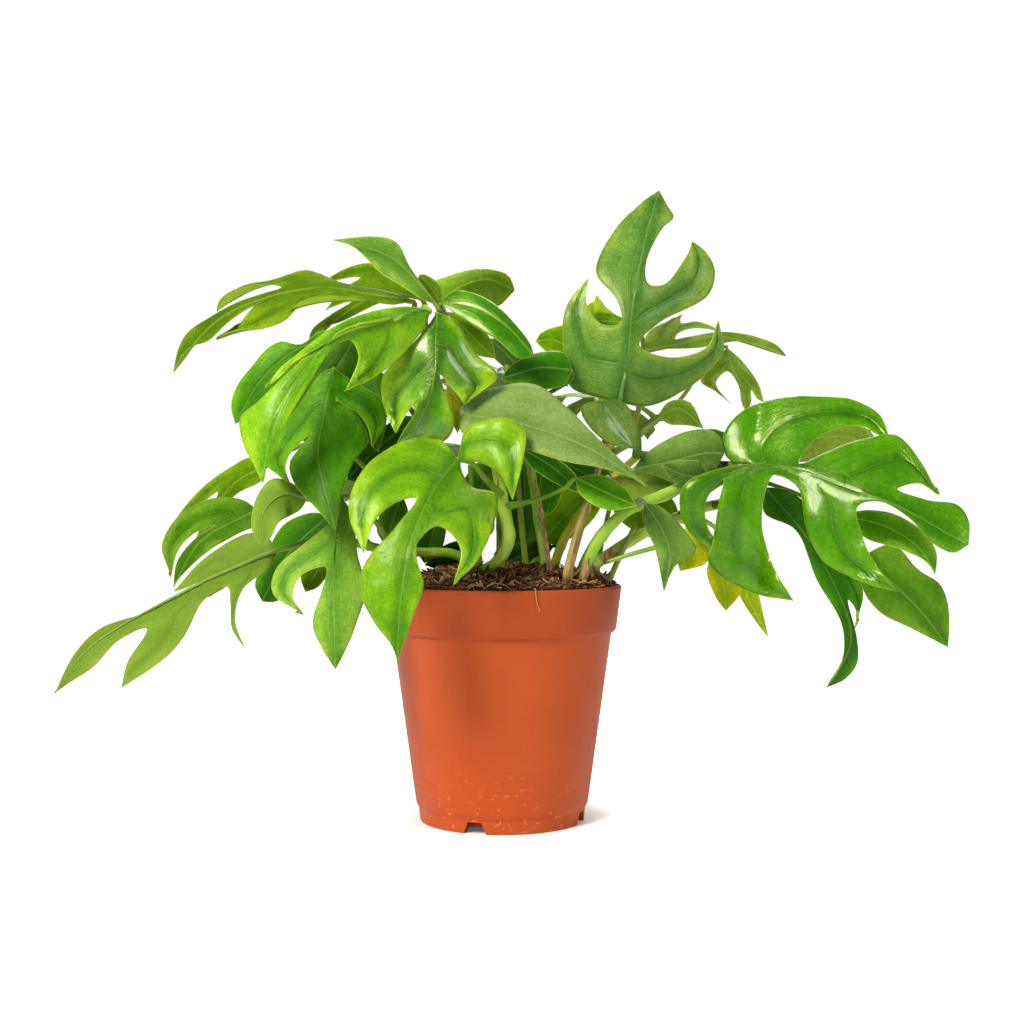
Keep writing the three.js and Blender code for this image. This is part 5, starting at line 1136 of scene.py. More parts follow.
def leaf_tissue(finish, deep, body, young, vein, gloss, wax, relief):
    """A living aroid leaf: leathery, with a waxy skin. The tissue is deepest in colour along the
    veins, partly its own colour and partly painted shade in their creases, and youngest at the
    lobes' ends; it is finely lined beside the side veins, with a thin painted highlight in pale
    green along the margin, and matt and paler underneath; stalk and midrib are one pale tissue."""
    material, add = bare_material("aroid_leaf_" + finish)
    place = add("TexCoord", out="Object")
    rib_mm, edge_mm, reach, under, stalk, tone_and_painted_light = (
        add("Attribute", out="Fac", attribute_name=name) for name in POINT_VALUES)
    beside_vein = add("SeparateXYZ", add("UVMap", uv_map="vein"), out="X")
    vein_mm = add("Math", beside_vein, operation="ABSOLUTE")
    grain_map = add("UVMap", uv_map="grain")
    # The tissue's colour, from the veins outwards, in clouds of 25 mm. It is darker close to the
    # midrib and side veins, partly the tissue's own colour and partly painted shade in the vein creases.
    cloud = add("TexNoise", place, Scale=40.0, Detail=5.0, Roughness=0.62)
    by_rib = add("MapRange", rib_mm, 0.0, 10.0, 0.8, 0.0, interpolation_type="SMOOTHSTEP")
    by_vein = add("MapRange", vein_mm, 0.0, 6.0, 0.75, 0.0, interpolation_type="SMOOTHSTEP")
    vein_tone_and_crease_shade = add("Math", by_rib, by_vein, operation="MAXIMUM")
    patch = add("MapRange", cloud, 0.33, 0.68, -0.35, 0.45)
    deep_share = add("Math", vein_tone_and_crease_shade, patch, operation="ADD", use_clamp=True)
    tissue = add("Mix", deep_share, body, deep, data_type="RGBA")
    by_edge = add("MapRange", edge_mm, 0.0, 8.0, 0.45, 0.0, interpolation_type="SMOOTHSTEP")
    by_reach = add("MapRange", reach, 0.35, 1.0, 0.0, 0.7)
    youngest = add("Math", by_edge, by_reach, operation="ADD")
    less_deep = add("Math", vein_tone_and_crease_shade, 0.7, operation="MULTIPLY")
    open_share = add("Math", youngest, less_deep, operation="SUBTRACT")
    young_share = add("Math", open_share, patch, operation="SUBTRACT", use_clamp=True)
    grown = add("Mix", young_share, tissue, young, data_type="RGBA")
    # Fine lines run beside the side veins, 0.9 mm apart, drawn coarse enough to show, and die out
    # where a lobe narrows; cells of 2 mm stipple the whole blade.
    line_place = add("Mapping", grain_map, Scale=(1.1, 0.035, 1))
    line_noise = add("TexNoise", line_place, Scale=1.0, Detail=3.0, Roughness=0.6)
    line_room = add("MapRange", reach, 0.45, 0.85, 1.0, 0.0)
    line_rise = add("Math", line_noise, 0.5, operation="SUBTRACT")
    lines = add("Math", line_rise, line_room, operation="MULTIPLY")
    stipple = add("TexNoise", place, Scale=460.0, Detail=3.0, Roughness=0.7)
    line_tone = add("MapRange", lines, -0.2, 0.2, 0.88, 1.12)
    stipple_tone = add("MapRange", stipple, 0.3, 0.7, 0.8, 1.2)
    grit = add("TexNoise", place, Scale=1300.0, Detail=1.0)
    grit_tone = add("MapRange", grit, 0.3, 0.7, 0.86, 1.14)
    line_value = add("Math", line_tone, stipple_tone, operation="MULTIPLY")
    value = add("Math", line_value, grit_tone, operation="MULTIPLY")
    lined = add("HueSaturation", Value=value, Color=grown)
    # Midrib and side veins are thin pale lines that fade outwards. Along the margin a thin pale line
    # is a painted highlight, for the light the margin catches.
    fade = add("MapRange", reach, 0.05, 0.8, 0.26, 0.0)
    on_vein = add("MapRange", vein_mm, 0.6, 0.15, interpolation_type="SMOOTHSTEP")
    side_share = add("Math", on_vein, fade, operation="MULTIPLY")
    on_rib = add("MapRange", rib_mm, 0.95, 0.3, 0.0, 0.4, interpolation_type="SMOOTHSTEP")
    vein_share = add("Math", side_share, on_rib, operation="MAXIMUM")
    veined = add("Mix", vein_share, lined, vein, data_type="RGBA")
    margin_highlight = add("MapRange", edge_mm, 0.55, 0.1, 0.0, 0.55)
    highlit_margin = add("Mix", margin_highlight, veined, "#aebf4a", data_type="RGBA")
    # A few pale mineral specks on the upper side.
    cell = add("TexVoronoi", place, Scale=75.0, out=None)
    near = add("MapRange", cell.outputs["Distance"], 0.055, 0.025)
    rare = add("SeparateColor", cell.outputs["Color"])
    pick = add("Math", rare, 0.07, operation="LESS_THAN")
    speck = add("Math", near, pick, operation="MULTIPLY")
    speck_share = add("Math", speck, 0.55, operation="MULTIPLY")
    specked = add("Mix", speck_share, highlit_margin, "#d3dcae", data_type="RGBA")
    # Underneath, and the stalk with the midrib.
    under_share = add("Math", under, 0.45, operation="MULTIPLY")
    two_faced = add("Mix", under_share, specked, "#86a035", data_type="RGBA")
    stalk_streak = add("MapRange", cloud, 0.3, 0.7, 0.82, 1.18)
    stalk_tone = add("HueSaturation", Value=stalk_streak, Color=vein)
    whole = add("Mix", stalk, two_faced, stalk_tone, data_type="RGBA")
    # Each leaf's colour is scaled by a brightness value of its own: partly the leaf's own tone and partly
    # painted light and shade, which make up for how much lamp light reaches it.
    tone = add("HueSaturation", Value=tone_and_painted_light, Color=whole)
    # Wax makes the upper side glossy; the underside is matt.
    film = add("TexNoise", place, Scale=120.0, Detail=5.0)
    shine = add("MapRange", film, 0.3, 0.7, gloss - 0.05, gloss + 0.1)
    matt = add("Math", under, 0.22, operation="MULTIPLY")
    rough = add("Math", shine, matt, operation="ADD")
    # The skin: lines, a crease on each vein, puckers of 6 mm and fine cells.
    ridge = add("MapRange", vein_mm, 0.0, 1.2, -0.8, 0.0)
    pucker = add("TexNoise", place, Scale=150.0, Detail=2.0)
    pucker_rise = add("Math", pucker, 1.1, operation="MULTIPLY")
    cells = add("Math", stipple, 0.3, operation="MULTIPLY")
    folds = add("Math", lines, ridge, operation="ADD")
    puckered = add("Math", folds, pucker_rise, operation="ADD")
    height = add("Math", puckered, cells, operation="ADD")
    bump = add("Bump", Height=height, Strength=relief, Distance=0.0008)
    surface = add("BsdfPrincipled", Base_Color=tone, Roughness=rough, Normal=bump, IOR=1.45,
                  Specular_IOR_Level=wax, Specular_Tint="#e9f08c", Coat_Weight=max(0.0, wax - 0.3),
                  Coat_Roughness=0.16, Subsurface_Weight=0.1, Subsurface_Radius=(0.4, 1.0, 0.1),
                  Subsurface_Scale=0.0015)
    add("OutputMaterial", surface, out=None)
    return material


POINT_VALUES = ["rib_mm", "edge_mm", "reach", "under", "stalk", "tone_and_painted_light"]
STALK_VALUES = [0.0, FAR, 0.0, 0.0, 1.0, 1.0]
FINISHES = {
    # finish: deep, body, young, vein and stalk, roughness, wax, relief
    "mature": ("#2b581a", "#486f28", "#708a2e", "#628a42", 0.36, 0.42, 0.6),
    "vivid": ("#2c6a01", "#408501", "#5a9a04", "#7cab2c", 0.25, 0.6, 0.4),
    "deep": ("#215802", "#3a7905", "#579309", "#6c982a", 0.4, 0.32, 0.55),
    "spring": ("#3f7c06", "#6aa211", "#94c01c", "#7ea626", 0.34, 0.42, 0.45),
    "lush": ("#1f5600", "#418001", "#9cc410", "#8cae2c", 0.2, 0.95, 0.8),
    "soft": ("#41721a", "#638d2c", "#82a23c", "#7f9c48", 0.46, 0.26, 0.6),
    "bloomed": ("#5c7d36", "#728f48", "#82984e", "#8a9e5c", 0.52, 0.3, 0.6),
    # the shade finish is darker than the rest, partly as painted shade for leaves deep in the plant
    "shade": ("#17480a", "#2a5f04", "#437608", "#5c7f30", 0.4, 0.3, 0.55),
    "meadow": ("#2e5c05", "#49780d", "#6a9024", "#72982c", 0.4, 0.3, 0.55),
    "olive": ("#446a02", "#5f8505", "#7a990f", "#8ea038", 0.44, 0.26, 0.5),
    # the straw finish is olive-yellow partly as painted light, for leaves lit through from behind
    "straw": ("#5a741c", "#748e2e", "#8ea048", "#8c9a50", 0.5, 0.24, 0.5),
    "yellowing": ("#76900c", "#9aa00c", "#b4b218", "#a8b058", 0.46, 0.26, 0.45),
    "blueish": ("#365c1c", "#53772f", "#70903e", "#7c945a", 0.46, 0.28, 0.6),
}
TISSUES = {finish: leaf_tissue(finish, *look) for finish, look in FINISHES.items()}


def distance_to_line(places, line):
    """How far each flat place lies from a flat line, and the line's third value at the nearest
    point: each place is dropped onto every segment, and the shortest drop is kept."""
    a, step = line[:-1, :2], np.diff(line[:, :2], axis=0)
    share = ((places[:, None] - a) * step).sum(-1) / np.maximum((step ** 2).sum(-1), 1e-9)
    share = np.clip(share, 0, 1)
    drop = np.linalg.norm(places[:, None] - a - share[..., None] * step, axis=-1)
    best = drop.argmin(axis=1)
    row = np.arange(len(places))
    third = line[best, 2] + (line[best + 1, 2] - line[best, 2]) * share[row, best]
    return drop[row, best], third


def lobe_edges(lobes, base, tip):
    """The near and the far margin of each lobe as dense lines. A chain of the margin runs from one
    sharp tip to the next, and is cut at the sinus between them."""
    edges = []
    chain = [base]
    for part in lobes:
        sinus_at = (len(chain) - 1) * SPAN_STEPS
        knots = chain + part["out"] + [part["tip"] or tip]
        line = smooth([[*knot, 0][:3] for knot in knots])
        if edges:
            edges[-1][1] = line[:sinus_at + 1][::-1]
        edges.append([line[sinus_at:], None])
        if part["tip"]:
            chain = [part["tip"], *part["back"], part["sinus"]]
    return edges


def paired(near, far):
    """Shares of a lobe's two margins that face each other, from their first points to the tip. Of
    all ways to step along both, it is the one whose cross lines are shortest in all."""
    shares = np.linspace(0, 1, PAIRING_STEPS)
    at_near, at_far = stations(near, shares), stations(far, shares)
    gap = np.linalg.norm(at_near[:, None] - at_far[None], axis=-1)
    total = gap.copy()
    total[0], total[:, 0] = np.cumsum(gap[0]), np.cumsum(gap[:, 0])
    for i in range(1, PAIRING_STEPS):
        for j in range(1, PAIRING_STEPS):
            total[i, j] += min(total[i - 1, j - 1], total[i - 1, j], total[i, j - 1])
    i = j = PAIRING_STEPS - 1
    steps = [(i, j)]
    while i or j:
        before = [(a, b) for a, b in ((i - 1, j - 1), (i - 1, j), (i, j - 1)) if a >= 0 and b >= 0]
        i, j = min(before, key=lambda step: total[step])
        steps.append((i, j))
    pairs = shares[np.array(steps[::-1])]
    mean = np.ones(2 * EASE_STEPS + 1) / (2 * EASE_STEPS + 1)
    padded = np.pad(pairs, ((EASE_STEPS, EASE_STEPS), (0, 0)), mode="edge")
    eased = np.stack([np.convolve(part, mean, "valid") for part in padded.T], -1)
    eased[0], eased[-1] = pairs[0], pairs[-1]
    return eased


def lobe_patch(near, far, rib, root_share, first):
    """A lobe as rows from the rib to its tip, ruled between its two margins: the rows first climb
    from the rib to the sinuses, then follow the margins in pairs. The first row is the rib."""
    pairs = paired(near, far)
    if first:
        cut = int(np.flatnonzero(pairs[:, 1] < UNOPENED_SHARE).max())
        opened = pairs[cut, 0]
        pairs = pairs[cut:]
        pairs[0] = opened, 0
    else:
        opened = 0.0
    lengths = [travelled(near)[-1], travelled(far)[-1]]
    run = np.concatenate([[0], np.cumsum((np.abs(np.diff(pairs, axis=0)) * lengths).max(axis=1))])
    outer_rows = max(LEAST_ROWS, int(round(run[-1] / ROW_STEP)))
    on = np.linspace(0, run[-1], outer_rows + 1)[1:]
    near_shares, far_shares = (np.interp(on, run, pairs[:, k]) for k in range(2))
    climb = np.linspace(0, 1, INNER_ROWS + 1)[:, None]
    foot = stations(near, climb[:, 0] * opened) if first else rib[0] + (near[0] - rib[0]) * climb
    near_side = np.vstack([foot, stations(near, near_shares)])
    far_side = np.vstack([rib[-1] + (far[0] - rib[-1]) * climb, stations(far, far_shares)])
    v = root_share[None, :, None]
    sheet = near_side[:, None] * (1 - v) + far_side[:, None] * v
    rise = np.linspace(0, 1, len(sheet))[:, None, None]
    sheet = sheet + (rib - sheet[:1]) * (1 - rise) ** 3
    sheet[0] = rib
    sheet[-1] = near[-1]
    width = np.linalg.norm(near_side - far_side, axis=1)[:, None]
    along = travelled(sheet[:, sheet.shape[1] // 2])
    across = np.broadcast_to(root_share[None], sheet.shape[:2])
    vein = np.stack([(across - 0.5) * width, np.broadcast_to(along[:, None], across.shape)], -1)
    grain = np.stack([across * width.max(), vein[..., 1]], -1)
    reach = np.broadcast_to((along / along[-1])[:, None], across.shape)
    return sheet, vein, grain, reach


def end_patch(margin, rib, rib_share):
    """The end of a half blade: columns along the rib to the tip, rows out to the margin."""
    outer = stations(margin, rib_share)
    outer[0], outer[-1] = margin[0], rib[-1]
    climb = np.linspace(0, 1, INNER_ROWS + 1)[:, None, None]
    sheet = rib + (outer - rib) * climb
    sheet[0], sheet[:, -1] = rib, rib[-1]
    width = np.linalg.norm(outer - rib, axis=1).max()
    along = travelled(rib)
    across = np.broadcast_to(climb[..., 0], sheet.shape[:2])
    vein = np.stack([END_FROM_VEIN + across * width, np.broadcast_to(along, across.shape)], -1)
    grain = np.stack([across * width, vein[..., 1]], -1)
    reach = np.broadcast_to(rib_share[None], across.shape) * END_REACH
    return sheet, vein, grain, reach


def rib_places(sides, length):
    """Shares of the rib where the blade has columns: even within each lobe of either half, and
    always at each lobe's root."""
    roots = sorted({0.0, *(part["root"] for side in sides for part in side)})
    places = list(roots)
    for side in sides:
        cuts = [0, *(part["root"] for part in side)]
        for a, b in zip(cuts, cuts[1:]):
            count = 2 * max(LEAST_COLUMNS, int(round((b - a) * length / COLUMN_STEP / 2)))
            places += list(np.linspace(a, b, count + 1)[1:-1])
    places = np.array(sorted(places))
    crowded = np.abs(places[:, None] - np.array(roots)).min(axis=1)
    places = np.unique(np.concatenate([places[crowded > ROOT_ROOM], roots]))
    keep = [True]
    for a, b in zip(places, places[1:]):
        keep.append(b - a > COLUMN_ROOM or b in roots)
    return places[np.array(keep)]


def edges_of(faces):
    """The three edges of each triangle, in the direction in which it takes them."""
    return faces[:, [0, 1, 1, 2, 2, 0]].reshape(-1, 2)


def untangle(flat, faces, held):
    """Where a flat triangle is turned over or all but closed, the points up to two edges away from
    it, except those held, are drawn to the middle of their neighbours, until none is left."""
    start, end = np.unique(np.sort(edges_of(faces), axis=1), axis=0).T
    count = len(flat)
    degree = np.bincount(start, minlength=count) + np.bincount(end, minlength=count)
    for _ in range(UNTANGLE_ROUNDS):
        a, b, c = (flat[faces[:, k], :2] for k in range(3))
        poor = (b - a)[:, 0] * (c - a)[:, 1] - (b - a)[:, 1] * (c - a)[:, 0] < THINNEST_CELL
        near = np.zeros(count, bool)
        near[faces[poor].ravel()] = True
        for _ in range(2):
            touched = near[start] | near[end]
            near[start[touched]] = True
            near[end[touched]] = True
        free = near & ~held
        if not free.any():
            break
        for _ in range(UNTANGLE_STEPS):
            for k in range(2):
                total = np.bincount(start, flat[end, k], count) + np.bincount(end, flat[start, k], count)
                flat[free, k] = (total / degree)[free]
    return flat


def flat_blade(rib, left, right):
    """A whole blade laid flat: every patch of both halves, welded where they meet. Gives points,
    triangles, both maps for each corner, the reach and half of each point, and the rib's points."""
    rib_line = np.column_stack([rib[:, :2], np.zeros(len(rib))])
    shares = rib_places([left, right], travelled(rib_line)[-1])
    on_rib = stations(rib_line, shares)
    on_rib[0], on_rib[-1] = rib_line[0], rib_line[-1]
    lists = points, faces, veins, grains, reaches, halves = [], [], [], [], [], []
    offset = 0
    for number, side in enumerate([left, right]):
        start = 0.0
        edges = lobe_edges(side, rib_line[0], rib_line[-1])
        for index, (part, (near, far)) in enumerate(zip(side, edges)):
            stop = part["root"]
            inside = (shares >= start) & (shares <= stop)
            along = (shares[inside] - start) / (stop - start)
            if part["tip"]:
                patch = lobe_patch(near, far, on_rib[inside], along, index == 0)
            else:
                patch = end_patch(near, on_rib[inside], along)
            sheet, vein, grain, reach = patch
            cells = grid_faces(*sheet.shape[:2])
            corners = sheet[..., :2].reshape(-1, 2)[cells]
            turn = np.cross(corners[:, 1] - corners[:, 0], corners[:, 2] - corners[:, 0]).sum()
            cells = cells if turn > 0 else cells[:, ::-1]
            points.append(sheet.reshape(-1, 3))
            faces.append(cells + offset)
            veins.append(vein.reshape(-1, 2)[cells])
            shift = np.dot(GRAIN_SHIFTS, [index, number])
            grains.append((grain + [shift, 0]).reshape(-1, 2)[cells])
            reaches.append(reach.ravel())
            halves.append(np.full(reach.size, number))
            offset += reach.size
            start = stop
    points, faces, veins, grains, reaches, halves = (np.concatenate(each) for each in lists)
    key = np.round(points[:, :2] * POINTS_PER_MM).astype(int)
    _, first, welded = np.unique(key, axis=0, return_index=True, return_inverse=True)
    faces = welded.ravel()[faces]
    whole = (faces[:, 0] != faces[:, 1]) & (faces[:, 1] != faces[:, 2]) & (faces[:, 2] != faces[:, 0])
    faces, veins, grains = faces[whole], veins[whole], grains[whole]
    flat = points[first]
    rib_keys = np.array([np.abs(flat[:, :2] - place[:2]).sum(axis=1).argmin() for place in on_rib])
    held = np.zeros(len(flat), bool)
    held[outline_of(faces).ravel()] = True
    held[rib_keys] = True
    return untangle(flat, faces, held), faces, veins, grains, reaches[first], halves[first], rib_keys


def point_normals(points, faces):
    """The unit normal at each point: the sum of its faces' normals, each as long as its area."""
    a, b, c = (points[faces[:, k]] for k in range(3))
    face = np.repeat(np.cross(b - a, c - a), 3, axis=0)
    return unit(np.stack([np.bincount(faces.ravel(), part, len(points)) for part in face.T], -1))


def outline_of(faces):
    """The edges that only one face has, each in the direction in which that face takes it."""
    edges = edges_of(faces)
    size = faces.max() + 1
    key, back = edges[:, 0] * size + edges[:, 1], edges[:, 1] * size + edges[:, 0]
    return edges[~np.isin(key, back)]


def relief_of(flat, rib_mm, edge_mm, vein_mm, seed):
    """How far the blade rises from its plain form: a crease along the midrib and each side vein
    that opens out evenly, a margin that turns down, a slow swell over the whole blade, puckers
    between the veins and a short wave that grows towards the margin."""
    rib_valley = -RIB_VALLEY * np.exp(-rib_mm / RIB_SPREAD) * (1 - np.exp(-(edge_mm / RIB_OPENING) ** 2))
    room = 1 - np.exp(-(rib_mm / RIB_ROOM) ** 2)
    side_valley = -VEIN_VALLEY * np.exp(-vein_mm / VEIN_SPREAD) * room
    fall = -MARGIN_FALL * np.exp(-edge_mm / MARGIN_SPREAD) * room
    place = np.column_stack([flat[:, :2], np.zeros(len(flat))])
    swell, wave, pucker = (ripple(place, length, seed + k) * height * room
                           for k, (length, height) in enumerate((SWELL, WAVE, PUCKER)))
    wave = wave * np.exp(-(edge_mm / WAVE_SPREAD) ** 2)
    return rib_valley + side_valley + fall + swell + pucker + wave


def thicken(points, faces, normals, half):
    """Both faces of a sheet and the rim between them, half a thickness to each side."""
    count = len(points)
    rim = outline_of(faces)
    a, b = rim[:, 0], rim[:, 1]
    walls = np.concatenate([np.stack([b, a, a + count], -1), np.stack([b, a + count, b + count], -1)])
    both = np.vstack([points + normals * half[:, None], points - normals * half[:, None]])
    return both, np.concatenate([faces, faces[:, ::-1] + count, walls])


def stalk_and_midrib(rib, normals, vine_name, bends):
    """A tube from the vine through the bends to the blade, and on under it as its midrib, which
    shows above as a crease alone. Its radius is read off along each part, scaled to the blade, with
    a bell-shaped swelling at the knee and another at the vine."""
    along = travelled(rib)
    slim = np.clip(along[-1] / FULL_LENGTH, SLIMMEST, 1)
    rib_radius = np.interp(along / along[-1], RIB_SHARES, RIB_RADII) * slim
    under_rib = rib - normals * (rib_radius + RIB_GAP)[:, None]
    vine = vine_line(VINES[vine_name])
    start = vine[nearest_on(vine, bends[0])]
    springs[vine_name].append(start)
    stalk = smooth(np.vstack([start, bends[1:], under_rib[0], under_rib[3]]))[:-SPAN_STEPS]
    stalk = evenly(stalk, STALK_STEP)
    run = travelled(stalk)
    radius = np.interp(run / run[-1], [0, STALK_TAPERS_TO], [STALK_RADIUS_LOW, STALK_RADIUS_HIGH])
    radius = radius * (slim * STALK_SCALING + (1 - STALK_SCALING))
    knee = np.exp(-((run - run[-1] + KNEE_PLACE) / KNEE_LENGTH) ** 2) * KNEE_SWELL
    foot = np.exp(-(run / FOOT_LENGTH) ** 2) * FOOT_SWELL
    line = np.vstack([stalk, under_rib[1:]])
    points, faces = tube(line, np.concatenate([radius + knee + foot, rib_radius[1:]]), STALK_SIDES)
    return points, faces, round_map(faces, len(line), STALK_SIDES, STALK_RADIUS_HIGH, run[-1])


def grow_leaf(leaf, rib, lift, bends, seed, sight=None):
    """A whole leaf: the flat blade is lifted into place, given its relief and thickness, and joined
    by its stalk. A blade seen nearly edge on along the sight line has less relief, so that its
    margins stay where they are seen."""
    flat, faces, veins, grains, reach, half_of, rib_keys = flat_blade(rib, leaf["left"], leaf["right"])
    rib_mm, _ = distance_to_line(flat[:, :2], rib)
    edge = flat[np.unique(outline_of(faces)), :2]
    blocks = np.array_split(flat[:, None, :2], max(1, len(flat) // DISTANCE_BLOCK))
    edge_mm = np.concatenate([np.linalg.norm(part - edge, axis=-1).min(axis=1) for part in blocks])
    vein_mm = np.full(len(flat), FAR)
    np.minimum.at(vein_mm, faces.ravel(), np.abs(veins[..., 0]).ravel())
    plain = lift(flat, half_of)
    if leaf.get("under"):
        faces, veins, grains = faces[:, ::-1], veins[:, ::-1], grains[:, ::-1]
    normals = point_normals(plain, faces)
    facing = np.abs((normals * sight).sum(axis=1)) if sight is not None else 1.0
    relief = relief_of(flat, rib_mm, edge_mm, vein_mm, seed) * facing ** 2
    middle = plain + normals * relief[:, None]
    normals = point_normals(middle, faces)
    half = np.interp(edge_mm, [0, MARGIN_WIDTH], [MARGIN_THICKNESS / 2, BLADE_THICKNESS / 2])
    points, shell = thicken(middle, faces, normals, half)
    tube_points, tube_faces, tube_map = stalk_and_midrib(
        middle[rib_keys], normals[rib_keys], leaf["vine"], bends)
    count, extra = len(middle), len(tube_points)
    wall_count = len(shell) - 2 * len(faces)
    wall_map = np.zeros((wall_count, 3, 2)) + [WALL_PLACE, 0]
    maps = {
        "vein": np.concatenate([veins, veins[:, ::-1], wall_map, tube_map + [STALK_PLACE, 0]]),
        "grain": np.concatenate([grains, grains[:, ::-1], wall_map, tube_map]),
    }
    blade = np.stack([rib_mm, edge_mm, reach, np.zeros(count), np.zeros(count),
                      np.full(count, leaf.get("tone_and_painted_light", 1.0))])
    below = blade + np.array([[0, 0, 0, 1, 0, 0]]).T
    on_stalk = np.repeat([[value] for value in STALK_VALUES], extra, 1)
    values = dict(zip(POINT_VALUES, np.hstack([blade, below, on_stalk])))
    crisp = np.zeros(len(shell) + len(tube_faces), bool)
    crisp[2 * len(faces):len(shell)] = True
    add_piece(leaf["name"] + "_grown", "leaf", np.vstack([points, tube_points]),
              np.concatenate([shell, tube_faces + 2 * count]), TISSUES[leaf["tint"]], maps, values,
              replaced=[] if leaf.get("added") else [leaf["name"]], crisp=crisp)


def seen_leaf(leaf, seed):
    """A leaf read from the front: each point's depth is the rib's at the nearest place, plus the
    half's lean times the distance out, plus its curl times that distance squared over 100."""
    rib = smooth(leaf["rib"])

    def lift(flat, half_of):
        out, depth = distance_to_line(flat[:, :2], rib)
        lean = np.array(leaf.get("lean", USUAL_LEAN))[half_of]
        curl = np.array(leaf.get("curl", USUAL_CURL))[half_of]
        fall = lean * out + curl * out ** 2 / 100
        return sighted(np.column_stack([flat[:, :2], depth + fall + flat[:, 2]]))

    grow_leaf(leaf, rib, lift, sighted(leaf["stalk"]), seed, np.array([0, 1.0, 0]))


for number, leaf in enumerate(LEAVES):
    seen_leaf(leaf, 20 + 3 * number)

# The leaves on the far side, which stand as the plant's own do: the same blade, full grown, laid
# along a rib that arches over from its stalk, folded a little upwards and sagging at the sides.
FAR_FOLD = 0.22
FAR_STEPS = 5
FAR_RIB_POINTS = 61
GROWN_LEFT = [
    lobe(0.2, [[-9, 10], [-6, 30], [8, 42], [26, 46]], [40, 38], [[30, 31], [22, 20]], [28, 12]),
    lobe(0.52, [[38, 16], [46, 30], [56, 38]], [74, 34], [[64, 26], [56, 14]], [60, 8]),
    lobe(1, [[70, 13], [82, 17], [94, 10]]),
]
GROWN_RIGHT = [
    lobe(0.34, [[-8, -12], [-2, -32], [16, -44], [36, -46]], [52, -36], [[40, -28], [36, -16]], [42, -9]),
    lobe(0.66, [[50, -14], [58, -28], [70, -34]], [88, -26], [[78, -20], [70, -12]], [74, -7]),
    lobe(1, [[82, -10], [92, -9]]),
]
FAR_LEAVES = [
    dict(name="leaf_far_low", tint="meadow", vine="stem_back", length=112,
         base=[-8, 128, 214], stalk=[[-3, 76, 190], [-6, 100, 212]],
         heading=96, climb=5, bend=62, roll=4, sag=1),
    dict(name="leaf_far_left", tint="mature", vine="stem_back", length=108,
         base=[-52, 112, 236], stalk=[[-6, 86, 216], [-28, 100, 236]],
         heading=132, climb=8, bend=58, roll=-10, sag=1),
    dict(name="leaf_far_right", tint="meadow", vine="stem_back", length=104,
         base=[44, 122, 238], stalk=[[-6, 92, 232], [18, 110, 246]],
         heading=62, climb=6, bend=60, roll=10, sag=1),
    dict(name="leaf_far_high", tint="mature", vine="stem_back", length=110,
         base=[-4, 122, 290], stalk=[[-9, 98, 258], [-10, 106, 282]],
         heading=88, climb=24, bend=66, roll=0, sag=1),
    dict(name="leaf_far_upper_left", tint="vivid", vine="stem_back_left", length=96,
         base=[-66, 66, 276], stalk=[[-50, 26, 246], [-58, 46, 270]],
         heading=118, climb=14, bend=60, roll=-8, sag=1),
    dict(name="leaf_far_upper_right", tint="olive", vine="stem_back_right", length=94,
         base=[66, 112, 272], stalk=[[74, 72, 232], [70, 92, 262]],
         heading=74, climb=10, bend=56, roll=8, sag=1),
]


def far_leaf(leaf, seed):
    """A leaf laid along an arching rib: the rib's pitch falls evenly from its climb by its bend,
    points beside it rise by the fold and sink by the sag times the distance squared over 100."""
    scale = leaf["length"] / 100
    heading, roll = np.radians([leaf["heading"], leaf["roll"]])
    ahead = np.array([np.cos(heading), np.sin(heading), 0])
    up = np.array([0, 0, 1.0])
    aside = np.cross(up, ahead)
    across = aside * np.cos(roll) + np.cross(ahead, aside) * np.sin(roll)
    base = np.array(leaf["base"], float)

    def pitch_at(along):
        return np.radians(leaf["climb"] - leaf["bend"] * np.clip(along / 100, 0, 1))

    def rib_point(along):
        pitch = pitch_at(along[:, None] * (np.arange(FAR_STEPS) + 0.5) / FAR_STEPS)
        step = along[:, None] * scale / FAR_STEPS
        run, rise = (np.cos(pitch) * step).sum(axis=1), (np.sin(pitch) * step).sum(axis=1)
        return base + run[:, None] * ahead + rise[:, None] * up

    def lift(flat, half_of):
        pitch = pitch_at(flat[:, 0])[:, None]
        out = flat[:, 1:2] * scale
        above = up * np.cos(pitch) - ahead * np.sin(pitch)
        rise = np.abs(out) * FAR_FOLD - leaf["sag"] * out ** 2 / 100
        return rib_point(flat[:, 0]) + across * out + above * rise

    rib = np.linspace([0.0, 0, 0], [100, 0, 0], FAR_RIB_POINTS)
    leaf = {**leaf, "left": GROWN_LEFT, "right": GROWN_RIGHT}
    grow_leaf(leaf, rib, lift, np.array(leaf["stalk"], float), seed)


for number, leaf in enumerate(FAR_LEAVES):
    far_leaf(leaf, 220 + 3 * number)

for vine in VINES.values():
    grow_vine(vine)


